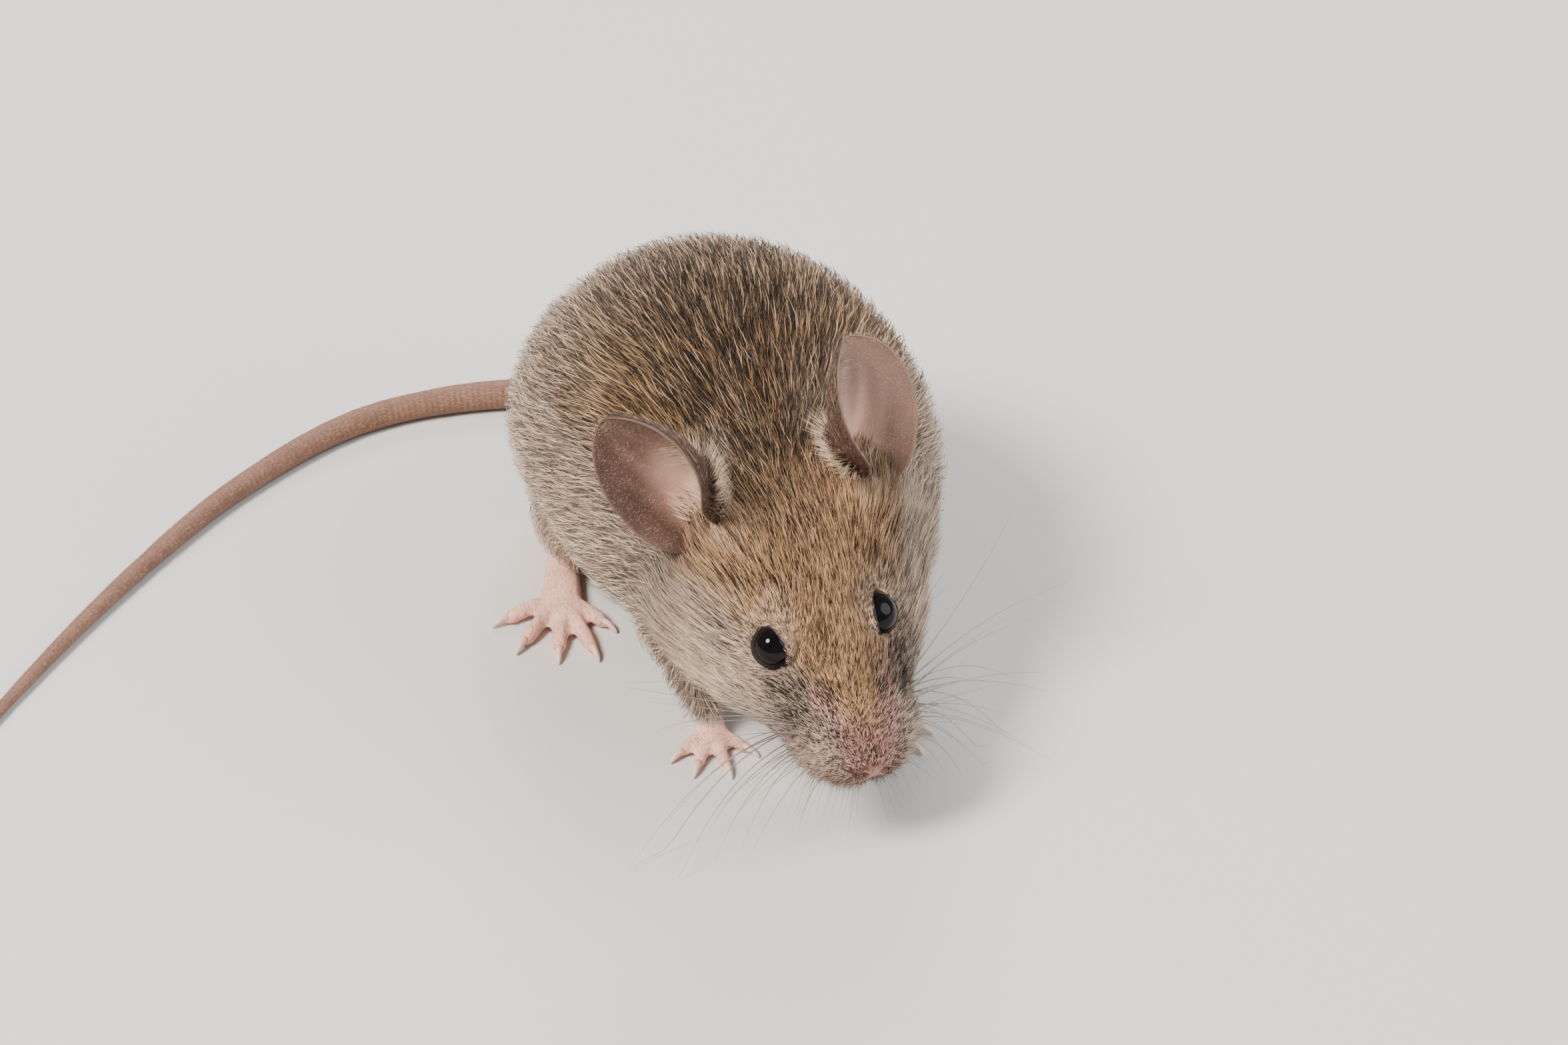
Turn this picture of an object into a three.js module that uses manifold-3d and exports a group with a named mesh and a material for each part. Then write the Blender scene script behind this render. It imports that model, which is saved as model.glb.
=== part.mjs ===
// A house mouse crouching on all fours, life size, as a set of closed solids that reach
// out to the tips of its coat. Millimetres, +Z up. The mouse faces -Y and its left side
// is +X. The origin is under the middle of the whole animal, at the level of its soles.

import * as THREE from 'three';
import { LoftGeometry } from 'three/addons/geometries/LoftGeometry.js';
import { mergeVertices } from 'three/addons/utils/BufferGeometryUtils.js';
import Module from 'manifold-3d';

const wasm = await Module();
wasm.setup();

// ---------------------------------------------------------------- driving dimensions

const CUT = 0.3; // width of the cuts between neighbouring sub-parts
const PRESS = 0.15; // how far soles and tail would sink below the floor before they are trimmed flat
const FAR = 200; // size of the blocks that trim and part the solids
const HIP_SHIFT = - 0.6; // the rump stands a little to the right of the shoulders

// Head: its own frame has its origin between the eyes, +x to the left, +y to the nape.
const EYE_MIDPOINT = new THREE.Vector3(1.6, -9.0, 15.8);
const HEAD_PITCH = 29.6; // degrees, nose down
const HEAD_YAW = 10.5; // degrees, turned to its left

const JAW_BACK = [ 3.4, 2.0 ]; // half width and half height at the angle of the jaw
const JAW_CHIN = [ 1.1, 0.8 ]; // and at the chin

const EYE_RADIUS = 1.65;
const EYE_MIDDLE = - 0.275; // halfway between the eyes, which sit a little to the right
const EYE_OUT = 4.175; // eye centre, sideways from there
const EYE_BACK = - 0.25;
const EYE_UP = 0.35;
const EYELID_GAP = 0.3;

const EAR_LENGTH = 12.6; // from its root inside the coat to its tip
const EAR_FOOT = - 0.1; // its lobe hangs this share of the length below the root
const EAR_INNER = { root: 2.2, wide: 5.3, widest: 0.45 }; // half widths towards the crown
const EAR_LOBE_START = 0.12; // below this share of the length the outer edge rounds off
const EAR_LOBE_LENGTH = 0.26;
const EAR_BOW = 5.0; // half width for which the leaf's curve is centred on its axis
const EAR_THICKNESS = 0.66;
const EAR_ROOT_CURL = 84; // degrees from the middle to each edge
const EAR_TIP_CURL = 53;
const EAR_INNER_CURL = 1.45; // the inner edge rolls over more than the outer one
const EAR_OUTER_CURL = 0.66;
const EAR_DISH = 0.3; // how far the middle of the ear bows back

const TAIL_ROOT_RADIUS = 1.45;
const TAIL_TIP_RADIUS = 0.55;
const TAIL_FLARE = 0.55; // added to the radius where the tail leaves the rump
const TAIL_FLARE_LENGTH = 0.06; // share of the tail over which that fades
const TAIL_TIP_TAPER = 0.25; // taken off the radius at the very tip
const TAIL_ON_FLOOR = 0.14; // from this share on the tail lies on the floor
const TAIL_LENGTH_SHARES = [0.3, 0.66]; // where the tail is parted into its three lengths

const RING_POINTS = 24; // points round the body
const BODY_RINGS = 29;
const BELLY_PINCH = 1.1; // how far the body's lower sides pinch in

// ---------------------------------------------------------------- frames and small helpers

const radians = THREE.MathUtils.degToRad;
const lerp = THREE.MathUtils.lerp;
const smoothstep = THREE.MathUtils.smoothstep;
const vec = ( x, y, z ) => new THREE.Vector3( x, y, z );

const headFrame = new THREE.Matrix4().compose(
	EYE_MIDPOINT,
	new THREE.Quaternion().setFromEuler(
		new THREE.Euler( radians( HEAD_PITCH ), 0, radians( HEAD_YAW ), 'ZYX' )
	),
	vec( 1, 1, 1 )
);

const headPoint = ( x, y, z ) => vec( x, y, z ).applyMatrix4( headFrame );
const headDirection = ( x, y, z ) => vec( x, y, z ).transformDirection( headFrame );

// A closed mesh as a solid that can be joined and cut.
function solidOf( geometry ) {

	const bare = new THREE.BufferGeometry();
	bare.setAttribute( 'position', geometry.attributes.position );
	bare.setIndex( geometry.index );
	const merged = mergeVertices( bare );
	return new wasm.Manifold( new wasm.Mesh( {
		numProp: 3,
		vertProperties: new Float32Array( merged.attributes.position.array ),
		triVerts: new Uint32Array( merged.index.array )
	} ) );

}

function geometryOf( solid ) {

	const { vertProperties, triVerts } = solid.getMesh();
	const geometry = new THREE.BufferGeometry();
	geometry.setAttribute( 'position', new THREE.Float32BufferAttribute( vertProperties, 3 ) );
	geometry.setIndex( new THREE.BufferAttribute( triVerts, 1 ) );
	geometry.computeVertexNormals();
	return geometry;

}

// A loft whose rings run counter-clockwise as seen from its far end, closed at both ends.
function loftSolid( rings ) {

	return solidOf( new LoftGeometry( rings, { closed: true, capStart: true, capEnd: true } ) );

}

// An oval ring round a centre. Across x up is the way the loft travels.
function ovalRing( centre, across, up, halfWidth, halfHeight, count ) {

	return Array.from( { length: count }, ( _, i ) => {

		const angle = i / count * 2 * Math.PI;
		return centre.clone()
			.addScaledVector( across, halfWidth * Math.cos( angle ) )
			.addScaledVector( up, halfHeight * Math.sin( angle ) );

	} );

}

// A round limb of changing thickness along a curve. radiusAt gives [half width, half height].
function limbSolid( curve, radiusAt, rings, count ) {

	const sections = [];
	for ( let i = 0; i <= rings; i ++ ) {

		const t = i / rings;
		const travel = curve.getTangent( t );
		const lean = Math.abs( travel.z ) > 0.9 ? vec( 0, - 1, 0 ) : vec( 0, 0, 1 );
		const across = lean.clone().cross( travel ).normalize();
		const up = travel.clone().cross( across );
		const [ halfWidth, halfHeight ] = radiusAt( t );
		sections.push( ovalRing( curve.getPoint( t ), across, up, halfWidth, halfHeight, count ) );

	}

	return loftSolid( sections );

}

// A block that fills the half space on the side of a plane that its normal points to.
function halfSpace( point, normal ) {

	const block = new THREE.BoxGeometry( FAR, FAR, FAR );
	block.translate( 0, 0, FAR / 2 );
	const turn = new THREE.Quaternion().setFromUnitVectors( vec( 0, 0, 1 ), normal.clone().normalize() );
	block.applyQuaternion( turn );
	block.translate( point.x, point.y, point.z );
	return solidOf( block );

}

const aboveFloor = halfSpace( vec( 0, 0, 0 ), vec( 0, 0, 1 ) );

// Parts a solid at planes, each [point, normal] with the normal along the solid's travel.
function partAt( solid, planes ) {

	const pieces = [];
	let rest = solid;
	for ( const [ point, normal ] of planes ) {

		const ahead = halfSpace( point.clone().addScaledVector( normal, CUT / 2 ), normal );
		const behind = halfSpace( point.clone().addScaledVector( normal, - CUT / 2 ), normal.clone().negate() );
		pieces.push( rest.intersect( behind ) );
		rest = rest.intersect( ahead );

	}

	pieces.push( rest );
	return pieces;

}

// ---------------------------------------------------------------- body: rump to nose

// One cross-section of the body: where it meets the top line and the bottom line, its half
// width, the level of that width as a share of the height, and how far its upper sides pinch in.
const station = ( top, bottom, across, half, level, pinch ) => ( {
	top, bottom, across, form: vec( half, level, pinch )
} );

const SIDEWAYS = vec( 1, 0, 0 );
const HEAD_SIDEWAYS = headDirection( 1, 0, 0 );
const trunkStation = ( topY, topZ, bottomY, bottomZ, half, x, level = 0.42, pinch = 1 ) =>
	station( vec( x, topY, topZ ), vec( x, bottomY, bottomZ ), SIDEWAYS, half, level, pinch );
const headStation = ( topY, topZ, bottomY, bottomZ, half, level, pinch ) =>
	station( headPoint( 0, topY, topZ ), headPoint( 0, bottomY, bottomZ ), HEAD_SIDEWAYS, half, level, pinch );

const bodyStations = [
	trunkStation( 34.6, 7.6, 34.0, 3.2, 2.6, - 1.8 ),
	trunkStation( 34.0, 13.2, 32.0, 2.2, 8.4, - 1.8 ),
	trunkStation( 31.5, 19.8, 28.6, 1.7, 11.8, - 1.6 ),
	trunkStation( 27.9, 25.3, 24.4, 1.6, 13.6, - 1.2 ),
	trunkStation( 23.0, 29.1, 20.0, 1.6, 14.9, - 0.6 ),
	trunkStation( 17.6, 30.9, 15.8, 1.8, 15.5, 0.2 ),
	trunkStation( 12.2, 30.7, 11.6, 2.4, 15.5, 0.9 ),
	trunkStation( 7.2, 28.8, 7.6, 3.2, 14.6, 1.1, 0.4 ),
	trunkStation( 2.6, 27.2, 3.2, 4.4, 13.0, 1.0, 0.38, 1.1 ),
	trunkStation( - 1.4, 25.8, - 0.9, 7.2, 11.8, 0.8, 0.34, 1.2 ),
	headStation( 8.2, 5.0, 4.4, - 8.6, 11.2, 0.28, 1.2 ),
	headStation( 4.4, 4.6, 2.0, - 8.0, 10.8, 0.26, 1.6 ),
	headStation( 1.2, 3.9, 0.0, - 7.4, 9.9, 0.25, 2.1 ),
	headStation( - 1.6, 2.9, - 2.0, - 6.9, 8.5, 0.28, 1.9 ),
	headStation( - 4.2, 1.7, - 4.1, - 6.5, 6.7, 0.35, 1.45 ),
	headStation( - 6.6, 0.6, - 6.4, - 6.1, 5.2, 0.42, 1.15 ),
	headStation( - 8.8, - 0.5, - 8.7, - 5.8, 4.1, 0.45, 1 ),
	headStation( - 10.3, - 1.4, - 10.3, - 5.4, 2.9, 0.48, 1 ),
	headStation( - 11.1, - 2.3, - 11.0, - 4.5, 1.6, 0.5, 1 )
];

function sectionRing( top, bottom, across, form, grow ) {

	const [ half, level, pinch ] = form.toArray();
	const rise = top.clone().sub( bottom );
	const up = rise.clone().normalize();
	return Array.from( { length: RING_POINTS }, ( _, i ) => {

		const angle = i / RING_POINTS * 2 * Math.PI;
		const cosine = Math.cos( angle );
		const sine = Math.sin( angle );
		const taper = sine > 0 ? pinch : BELLY_PINCH;
		const width = ( half + grow ) * Math.sign( cosine ) * Math.pow( Math.abs( cosine ), taper );
		const height = sine > 0 ? level + ( 1 - level ) * sine : level * ( 1 + sine );
		return bottom.clone().addScaledVector( rise, height )
			.addScaledVector( up, grow * sine ).addScaledVector( across, width );

	} );

}

function bodySolid( grow = 0 ) {

	const curveOf = ( key ) =>
		new THREE.CatmullRomCurve3( bodyStations.map( ( s ) => s[ key ] ), false, 'catmullrom' );
	const tops = curveOf( 'top' );
	const bottoms = curveOf( 'bottom' );
	const forms = curveOf( 'form' );
	const sides = curveOf( 'across' );
	const rings = [];
	for ( let i = 0; i <= BODY_RINGS; i ++ ) {

		const t = i / BODY_RINGS;
		const across = sides.getPoint( t ).normalize();
		rings.push( sectionRing( tops.getPoint( t ), bottoms.getPoint( t ), across, forms.getPoint( t ), grow ) );

	}

	return loftSolid( rings );

}

// The lower jaw hangs under the muzzle, a little behind the upper lip.
function jawSolid() {

	const curve = new THREE.CatmullRomCurve3( [
		headPoint( 0, 0.5, - 6.2 ), headPoint( 0, - 3.0, - 6.2 ),
		headPoint( 0, - 6.2, - 6.0 ), headPoint( 0, - 8.3, - 5.6 )
	] );
	const [ backWidth, backHeight ] = JAW_BACK;
	const [ chinWidth, chinHeight ] = JAW_CHIN;
	return limbSolid( curve,
		( t ) => [ lerp( backWidth, chinWidth, t * t ), lerp( backHeight, chinHeight, t * t ) ], 8, 14 );

}

// ---------------------------------------------------------------- eyes and ears

const eyeCentre = ( side ) => headPoint( EYE_MIDDLE + side * EYE_OUT, EYE_BACK, EYE_UP );

function eyeGeometry( side, radius ) {

	const globe = new THREE.SphereGeometry( radius, 12, 8 );
	globe.translate( ...eyeCentre( side ).toArray() );
	return globe;

}

// Each ear in the head's frame: its root, the way it stands, the way its hollow face looks,
// the sign of its inner edge across that face, its half widths towards the cheek, measured
// along the curved face, and how much longer the fold makes the inner half.
const EARS = {
	right: {
		root: [ - 5.5, 9.2, 2.1 ], stands: [ - 0.58, 0.62, 0.52 ], faces: [ - 0.27, - 0.755, 0.6 ],
		inner: - 1, outer: { root: 4.5, wide: 4.95, widest: 0.3 }, fold: 0.42
	},
	left: {
		root: [ 6.8, 8.8, 1.9 ], stands: [ - 0.02, 0.64, 0.765 ], faces: [ 0.2, - 0.735, 0.65 ],
		inner: 1, outer: { root: 4.6, wide: 5.35, widest: 0.38 }, fold: 0.3
	}
};

// Half the ear's width along its curved face, from root (0) to tip (1).
function earHalfWidth( t, { root, wide, widest } ) {

	const lower = lerp( root, wide, smoothstep( t, 0, widest ) );
	if ( t < widest ) return lower;
	const above = ( t - widest ) / ( 1 - widest );
	return Math.max( lower * Math.sqrt( Math.max( 0, 1 - above * above ) ), EAR_THICKNESS );

}

// The outer edge rounds off into a lobe below its start.
function lobeShare( t ) {

	const below = Math.max( 0, ( EAR_LOBE_START - t ) / EAR_LOBE_LENGTH );
	return Math.sqrt( 1 - below * below );

}

function earSolid( { root, stands, faces, inner, outer, fold } ) {

	const levels = 10;
	const steps = 9;
	const axis = headDirection( ...stands );
	const facing = headDirection( ...faces );
	facing.addScaledVector( axis, - facing.dot( axis ) ).normalize();
	const side = facing.clone().cross( axis );
	const start = headPoint( ...root );
	const rings = [];
	for ( let level = 0; level <= levels; level ++ ) {

		const t = lerp( EAR_FOOT, 1, Math.sin( level / levels * Math.PI / 2 * 0.985 ) );
		const folded = 1 + fold * ( 1 - smoothstep( t, 0.6, 1 ) );
		const curl = radians( lerp( EAR_ROOT_CURL, EAR_TIP_CURL, smoothstep( t, 0.05, 0.75 ) ) );
		const centre = start.clone().addScaledVector( axis, EAR_LENGTH * t )
			.addScaledVector( facing, - EAR_DISH * Math.sin( Math.PI * t ) )
			.addScaledVector( facing, - EAR_BOW / curl * ( 1 - Math.cos( curl ) ) / 2 );
		const facePoint = ( u, lift ) => {

			const isInner = Math.sign( u ) === inner;
			const bend = curl * ( isInner ? EAR_INNER_CURL * folded : EAR_OUTER_CURL );
			const half = isInner
				? folded * earHalfWidth( t, EAR_INNER )
				: lobeShare( t ) * earHalfWidth( t, outer );
			const radius = half / bend;
			const angle = Math.abs( u ) * bend;
			return centre.clone()
				.addScaledVector( side, Math.sign( u ) * ( radius - lift ) * Math.sin( angle ) )
				.addScaledVector( facing, radius - ( radius - lift ) * Math.cos( angle ) );

		};

		const front = [];
		const back = [];
		for ( let step = 0; step < steps; step ++ ) {

			const u = 1 - 2 * step / ( steps - 1 );
			front.push( facePoint( u, EAR_THICKNESS / 2 ) );
			back.push( facePoint( - u, - EAR_THICKNESS / 2 ) );

		}

		rings.push( [ ...front, ...back ] );

	}

	return loftSolid( rings );

}

// ---------------------------------------------------------------- legs

// A leg runs down through flat level ovals: [x, y, z, half width, half length], x outwards.
const HIND_LEG = [
	[ 7.4, 23.5, 18.0, 1.6, 2.2 ],
	[ 7.6, 22.8, 15.5, 3.2, 4.8 ],
	[ 8.0, 21.4, 11.5, 4.2, 7.4 ],
	[ 9.0, 20.6, 7.2, 4.7, 8.6 ],
	[ 9.6, 21.4, 4.2, 4.0, 7.0 ],
	[ 10.8, 23.4, 2.05, 1.8, 3.4 ]
];
const FORE_LEG = [
	[ 8.0, 5.0, 14.0, 1.8, 2.4 ],
	[ 8.2, 3.8, 10.6, 3.0, 4.0 ],
	[ 7.4, 2.0, 7.2, 2.5, 3.2 ],
	[ 6.4, 0.6, 4.4, 1.9, 2.2 ],
	[ 5.7, - 0.8, 1.85, 1.25, 1.5 ]
];

function legSolid( levels, side, shift, grow = 0 ) {

	const curveOf = ( pick ) => new THREE.CatmullRomCurve3( levels.map( pick ) );
	const centres = curveOf( ( [ x, y, z ], i ) => {

		const share = i / ( levels.length - 1 );
		return vec( side * x + lerp( shift.hip, shift.foot[ 0 ], share ), y + shift.foot[ 1 ] * share, z );

	} );
	const sizes = curveOf( ( [ , , , width, length ] ) => vec( width, length, 0 ) );
	const rings = [];
	const count = 8;
	for ( let i = 0; i <= count; i ++ ) {

		const size = sizes.getPoint( i / count );
		const centre = centres.getPoint( i / count );
		rings.push( ovalRing( centre, SIDEWAYS, vec( 0, - 1, 0 ), size.x + grow, size.y + grow, 12 ) );

	}

	// the grown copy reaches past both ends as well
	rings[ 0 ].forEach( ( point ) => ( point.z += grow ) );
	rings[ count ].forEach( ( point ) => ( point.z -= grow ) );
	return loftSolid( rings );

}

// ---------------------------------------------------------------- feet

// Toes: the way each points, in degrees outwards from the foot's own line, and its length.
const HIND_TOES = [ [ - 50, 2.2 ], [ - 24, 4.2 ], [ 1, 3.4 ], [ 30, 3.6 ], [ 62, 2.4 ] ];
const FORE_TOES = [ [ - 50, 1.6 ], [ - 14, 2.3 ], [ 20, 2.2 ], [ 48, 1.6 ] ];

// Each foot: the middle of its ball on the floor, the way it points (degrees outwards from
// straight ahead), and its side.
const FEET = {
	hindfoot_right: { ball: [ - 13.3, 15.3 ], turn: 14, side: - 1, hind: true },
	hindfoot_left: { ball: [ 12.4, 17.5 ], turn: 8, side: 1, hind: true },
	forefoot_right: { ball: [ - 5.6, - 2.4 ], turn: 10, side: - 1, hind: false },
	forefoot_left: { ball: [ 7.6, - 4.2 ], turn: 6, side: 1, hind: false }
};

// Sole length behind the ball's middle, half widths at heel and ball, height before the sole
// is pressed flat, and toe radius.
const HIND_SIZES = { sole: 11.5, heel: 1.1, ball: 2.0, height: 1.9, toe: 0.62 };
const FORE_SIZES = { sole: 3.0, heel: 1.1, ball: 1.5, height: 1.7, toe: 0.5 };
const FOOT_SQUARENESS = 6; // how squarely heel and ball end
const TOE_FAN = 40; // degrees of a toe's turn for each half width its root stands aside
const TOE_LIFT = 0.22; // how far the middle of a toe stands above its tip
const CLAW_LENGTH = 1.0;
const CLAW_ROOT_RADIUS = 0.3;
const CLAW_TIP_RADIUS = 0.1;

function footSolid( { ball, turn, side, hind } ) {

	const sizes = hind ? HIND_SIZES : FORE_SIZES;
	const toes = hind ? HIND_TOES : FORE_TOES;
	const heading = ( degrees ) => {

		const angle = radians( turn + degrees );
		return vec( side * Math.sin( angle ), - Math.cos( angle ), 0 );

	};

	const ahead = heading( 0 );
	const outward = vec( side * Math.cos( radians( turn ) ), Math.sin( radians( turn ) ), 0 );
	const middle = vec( ball[ 0 ], ball[ 1 ], 0 );
	const at = ( forward, out, z ) =>
		middle.clone().addScaledVector( ahead, forward ).addScaledVector( outward, out ).setZ( z );
	const centreHeight = sizes.height / 2 - PRESS;
	const sole = new THREE.CatmullRomCurve3( [
		at( - sizes.sole, 0, centreHeight ), at( - sizes.sole / 2, 0, centreHeight ), at( 0, 0, centreHeight ),
		at( sizes.ball * 0.9, 0, centreHeight * 0.8 )
	] );
	let foot = limbSolid( sole, ( t ) => {

		const ends = Math.pow( Math.max( 0.04, 1 - Math.pow( Math.abs( 2 * t - 1 ), FOOT_SQUARENESS ) ), 0.5 );
		return [ lerp( sizes.heel, sizes.ball, smoothstep( t, 0.2, 0.85 ) ) * ends, sizes.height / 2 * ends ];

	}, 6, 9 );

	for ( const [ degrees, length ] of toes ) {

		const way = heading( degrees );
		const spread = degrees / TOE_FAN;
		const rootAhead = sizes.ball * ( 0.75 - Math.abs( spread ) * 0.5 );
		const root = at( rootAhead, spread * sizes.ball * 0.72, centreHeight );
		const along = ( distance, z ) => root.clone().addScaledVector( way, distance ).setZ( z );
		const rest = sizes.toe - PRESS;
		const toe = new THREE.CatmullRomCurve3( [
			along( - 0.4, centreHeight ), along( length * 0.5, rest + TOE_LIFT ),
			along( length * 0.85, rest ), along( length, rest - 0.05 )
		] );
		foot = foot.add( limbSolid( toe, ( t ) => {

			const radius = sizes.toe * ( t > 0.95 ? 0.62 : lerp( 1.06, 0.92, t ) );
			return [ radius, radius ];

		}, 3, 6 ) );
		const claw = new THREE.CatmullRomCurve3( [
			along( length - 0.3, rest + 0.05 ), along( length + CLAW_LENGTH * 0.45, rest ),
			along( length + CLAW_LENGTH, rest * 0.5 )
		] );
		foot = foot.add( limbSolid( claw, ( t ) => {

			const radius = lerp( CLAW_ROOT_RADIUS, CLAW_TIP_RADIUS, t );
			return [ radius, radius ];

		}, 1, 4 ) );

	}

	return foot.intersect( aboveFloor );

}

// ---------------------------------------------------------------- tail

// The tail leaves the rump low, swings out to the right and lies on the floor.
const TAIL_ROUTE = [
	[ - 1.2, 31.6, 5.6 ], [ - 2.2, 36.0, 3.4 ], [ - 6.2, 40.2 ], [ - 13.0, 42.4 ], [ - 23.8, 42.0 ],
	[ - 35.2, 36.2 ], [ - 45.7, 27.5 ], [ - 55.3, 17.8 ], [ - 63.5, 8.4 ]
];

// Radius along the tail: a quick taper off the rump, a slow one after it, a short point.
function tailRadius( t ) {

	const slow = lerp( TAIL_ROOT_RADIUS, TAIL_TIP_RADIUS, Math.pow( t, 1.35 ) );
	const flare = TAIL_FLARE * Math.exp( - t / TAIL_FLARE_LENGTH );
	return slow + flare - TAIL_TIP_TAPER * smoothstep( t, 0.94, 1 );

}

function tailSolid() {

	const points = TAIL_ROUTE.map( ( [ x, y, z ], i ) =>
		vec( x, y, z ?? tailRadius( i / ( TAIL_ROUTE.length - 1 ) ) - PRESS ) );
	const curve = new THREE.CatmullRomCurve3( points );
	const steps = 30;
	const rings = [];
	for ( let i = 0; i <= steps; i ++ ) {

		const t = i / steps;
		const centre = curve.getPointAt( t );
		const radius = tailRadius( t );
		if ( t > TAIL_ON_FLOOR ) centre.z = radius - PRESS;
		const travel = curve.getTangentAt( t );
		const across = vec( 0, 0, 1 ).cross( travel ).normalize();
		rings.push( ovalRing( centre, across, travel.clone().cross( across ), radius, radius, 8 ) );

	}

	return { solid: loftSolid( rings ), curve };

}

// ---------------------------------------------------------------- putting it together

const SIDES = { right: - 1, left: 1 };
const pieces = {};

// Feet first: the legs stop just above them.
for ( const [ name, spec ] of Object.entries( FEET ) ) pieces[ name ] = footSolid( spec );

// How far each leg's lower end moves with its foot, and its upper end with the trunk.
const LEG_SHIFTS = {
	hind: { right: { hip: HIP_SHIFT, foot: [ 0, 0 ] }, left: { hip: HIP_SHIFT, foot: [ 0.4, 2.6 ] } },
	fore: { right: { hip: 0.4, foot: [ 0, 0 ] }, left: { hip: 0.4, foot: [ 1.8, - 1.8 ] } }
};
let legRoom = null;
for ( const [ pair, levels ] of [ [ 'hind', HIND_LEG ], [ 'fore', FORE_LEG ] ] ) {

	for ( const [ sideName, side ] of Object.entries( SIDES ) ) {

		const shift = LEG_SHIFTS[ pair ][ sideName ];
		pieces[ `${ pair }leg_${ sideName }` ] = legSolid( levels, side, shift );
		const room = legSolid( levels, side, shift, CUT );
		legRoom = legRoom ? legRoom.add( room ) : room;

	}

}

const { solid: tailWhole, curve: tailCurve } = tailSolid();
const tailPlanes = TAIL_LENGTH_SHARES.map( ( share ) =>
	[ tailCurve.getPointAt( share ), tailCurve.getTangentAt( share ) ] );
const tailBody = tailWhole.subtract( bodySolid( CUT ) ).intersect( aboveFloor );
[ pieces.tail_base, pieces.tail_middle, pieces.tail_tip ] = partAt( tailBody, tailPlanes );

// The body is one form, parted at the shoulders, behind the ears and round the nose.
const towardsHead = headDirection( 0, - 1, 0 );
const shoulderWay = vec( 0.05, - 0.995, 0.08 ).normalize();
const bodyPlanes = [
	[ vec( 0, 3.2, 14 ), shoulderWay ],
	[ headPoint( 0, 8.4, 0 ), headDirection( 0, - 0.96, 0.26 ) ],
	[ headPoint( 0, - 10.2, 0 ), towardsHead ]
];
const [ trunk, neck, head, nose ] = partAt( bodySolid(), bodyPlanes );
pieces.trunk = trunk.subtract( legRoom );
pieces.neck = neck.subtract( legRoom );
pieces.head = head.subtract( legRoom );
pieces.nose = nose;
for ( const side of Object.values( SIDES ) ) {

	pieces.head = pieces.head.subtract( solidOf( eyeGeometry( side, EYE_RADIUS + EYELID_GAP ) ) );

}

pieces.lower_jaw = jawSolid().subtract( bodySolid( CUT ) );
for ( const [ sideName, spec ] of Object.entries( EARS ) ) {

	pieces[ `ear_${ sideName }` ] = earSolid( spec ).subtract( bodySolid( CUT ) );

}

for ( const [ sideName, side ] of Object.entries( SIDES ) ) {

	pieces[ `eye_${ sideName }` ] = solidOf( eyeGeometry( side, EYE_RADIUS ) );

}

const COLOURS = { fur: 0x6f5a43, ear: 0x6b4a44, skin: 0xd79a8c, eye: 0x080808, tail: 0x9c6a4c };
const finishOf = ( name ) => {

	if ( name.startsWith( 'ear' ) ) return 'ear';
	if ( name.startsWith( 'eye' ) ) return 'eye';
	if ( name.startsWith( 'tail' ) ) return 'tail';
	if ( name.includes( 'foot' ) || name === 'nose' ) return 'skin';
	return 'fur';

};

const mouse = new THREE.Group();
for ( const [ name, solid ] of Object.entries( pieces ) ) {

	const finish = finishOf( name );
	const roughness = finish === 'eye' ? 0.08 : 0.85;
	const material = new THREE.MeshStandardMaterial( { color: COLOURS[ finish ], roughness, metalness: 0 } );
	const mesh = new THREE.Mesh( geometryOf( solid ), material );
	mesh.name = name;
	mouse.add( mesh );

}

const extent = new THREE.Box3().setFromObject( mouse );
const middle = extent.getCenter( new THREE.Vector3() );
mouse.position.set( - middle.x, - middle.y, - extent.min.z );

export default mouse;
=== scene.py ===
import math

import bmesh
import bpy
import numpy as np
from bpy.props import FloatProperty, FloatVectorProperty, IntProperty, PointerProperty
from bpy.types import Operator, Panel, PropertyGroup
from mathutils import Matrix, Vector
from mathutils.bvhtree import BVHTree


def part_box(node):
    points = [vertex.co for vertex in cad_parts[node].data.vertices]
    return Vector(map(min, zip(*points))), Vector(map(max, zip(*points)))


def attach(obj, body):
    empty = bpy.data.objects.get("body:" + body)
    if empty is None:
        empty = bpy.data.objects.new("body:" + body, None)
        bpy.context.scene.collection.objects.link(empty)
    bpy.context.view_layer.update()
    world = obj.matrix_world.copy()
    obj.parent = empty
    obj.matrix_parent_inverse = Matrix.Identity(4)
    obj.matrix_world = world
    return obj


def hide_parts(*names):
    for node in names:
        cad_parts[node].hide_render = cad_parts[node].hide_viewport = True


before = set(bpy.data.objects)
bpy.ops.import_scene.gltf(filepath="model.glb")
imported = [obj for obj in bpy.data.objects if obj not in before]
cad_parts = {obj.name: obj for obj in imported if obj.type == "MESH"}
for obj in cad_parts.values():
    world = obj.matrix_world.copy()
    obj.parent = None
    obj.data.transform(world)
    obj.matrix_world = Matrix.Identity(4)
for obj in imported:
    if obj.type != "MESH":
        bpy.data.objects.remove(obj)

bl_info = {
    "name": "House Mouse",
    "version": (1, 0, 0),
    "blender": (4, 5, 0),
    "location": "View3D > Sidebar > Mouse",
    "description": "Dresses the solids of a crouching house mouse in skin, coat, eyes, claws and whiskers",
    "category": "Add Mesh",
}

MM = 0.001  # the shapes are worked out in millimetres and made in metres
SIDES = {"right": -1.0, "left": 1.0}

# ------------------------------------------------------------------ the animal's own frame
# Shapes are written in the body's frame: +X its left, -Y ahead, floor at z 0. The head has a
# frame of its own: origin midway between the eyes, x to the left, y to the nape, z up.

EYE_MIDPOINT = np.array([1.6, -9.0, 15.8])
HEAD_PITCH = math.radians(29.6)
HEAD_YAW = math.radians(10.5)
EYE_RADIUS = 1.65
EYE_MIDDLE = np.array([-0.275, -0.25, 0.35])  # halfway between the eyes, in the head's frame
EYE_OUT = 4.175  # from there to each eye's centre

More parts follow.
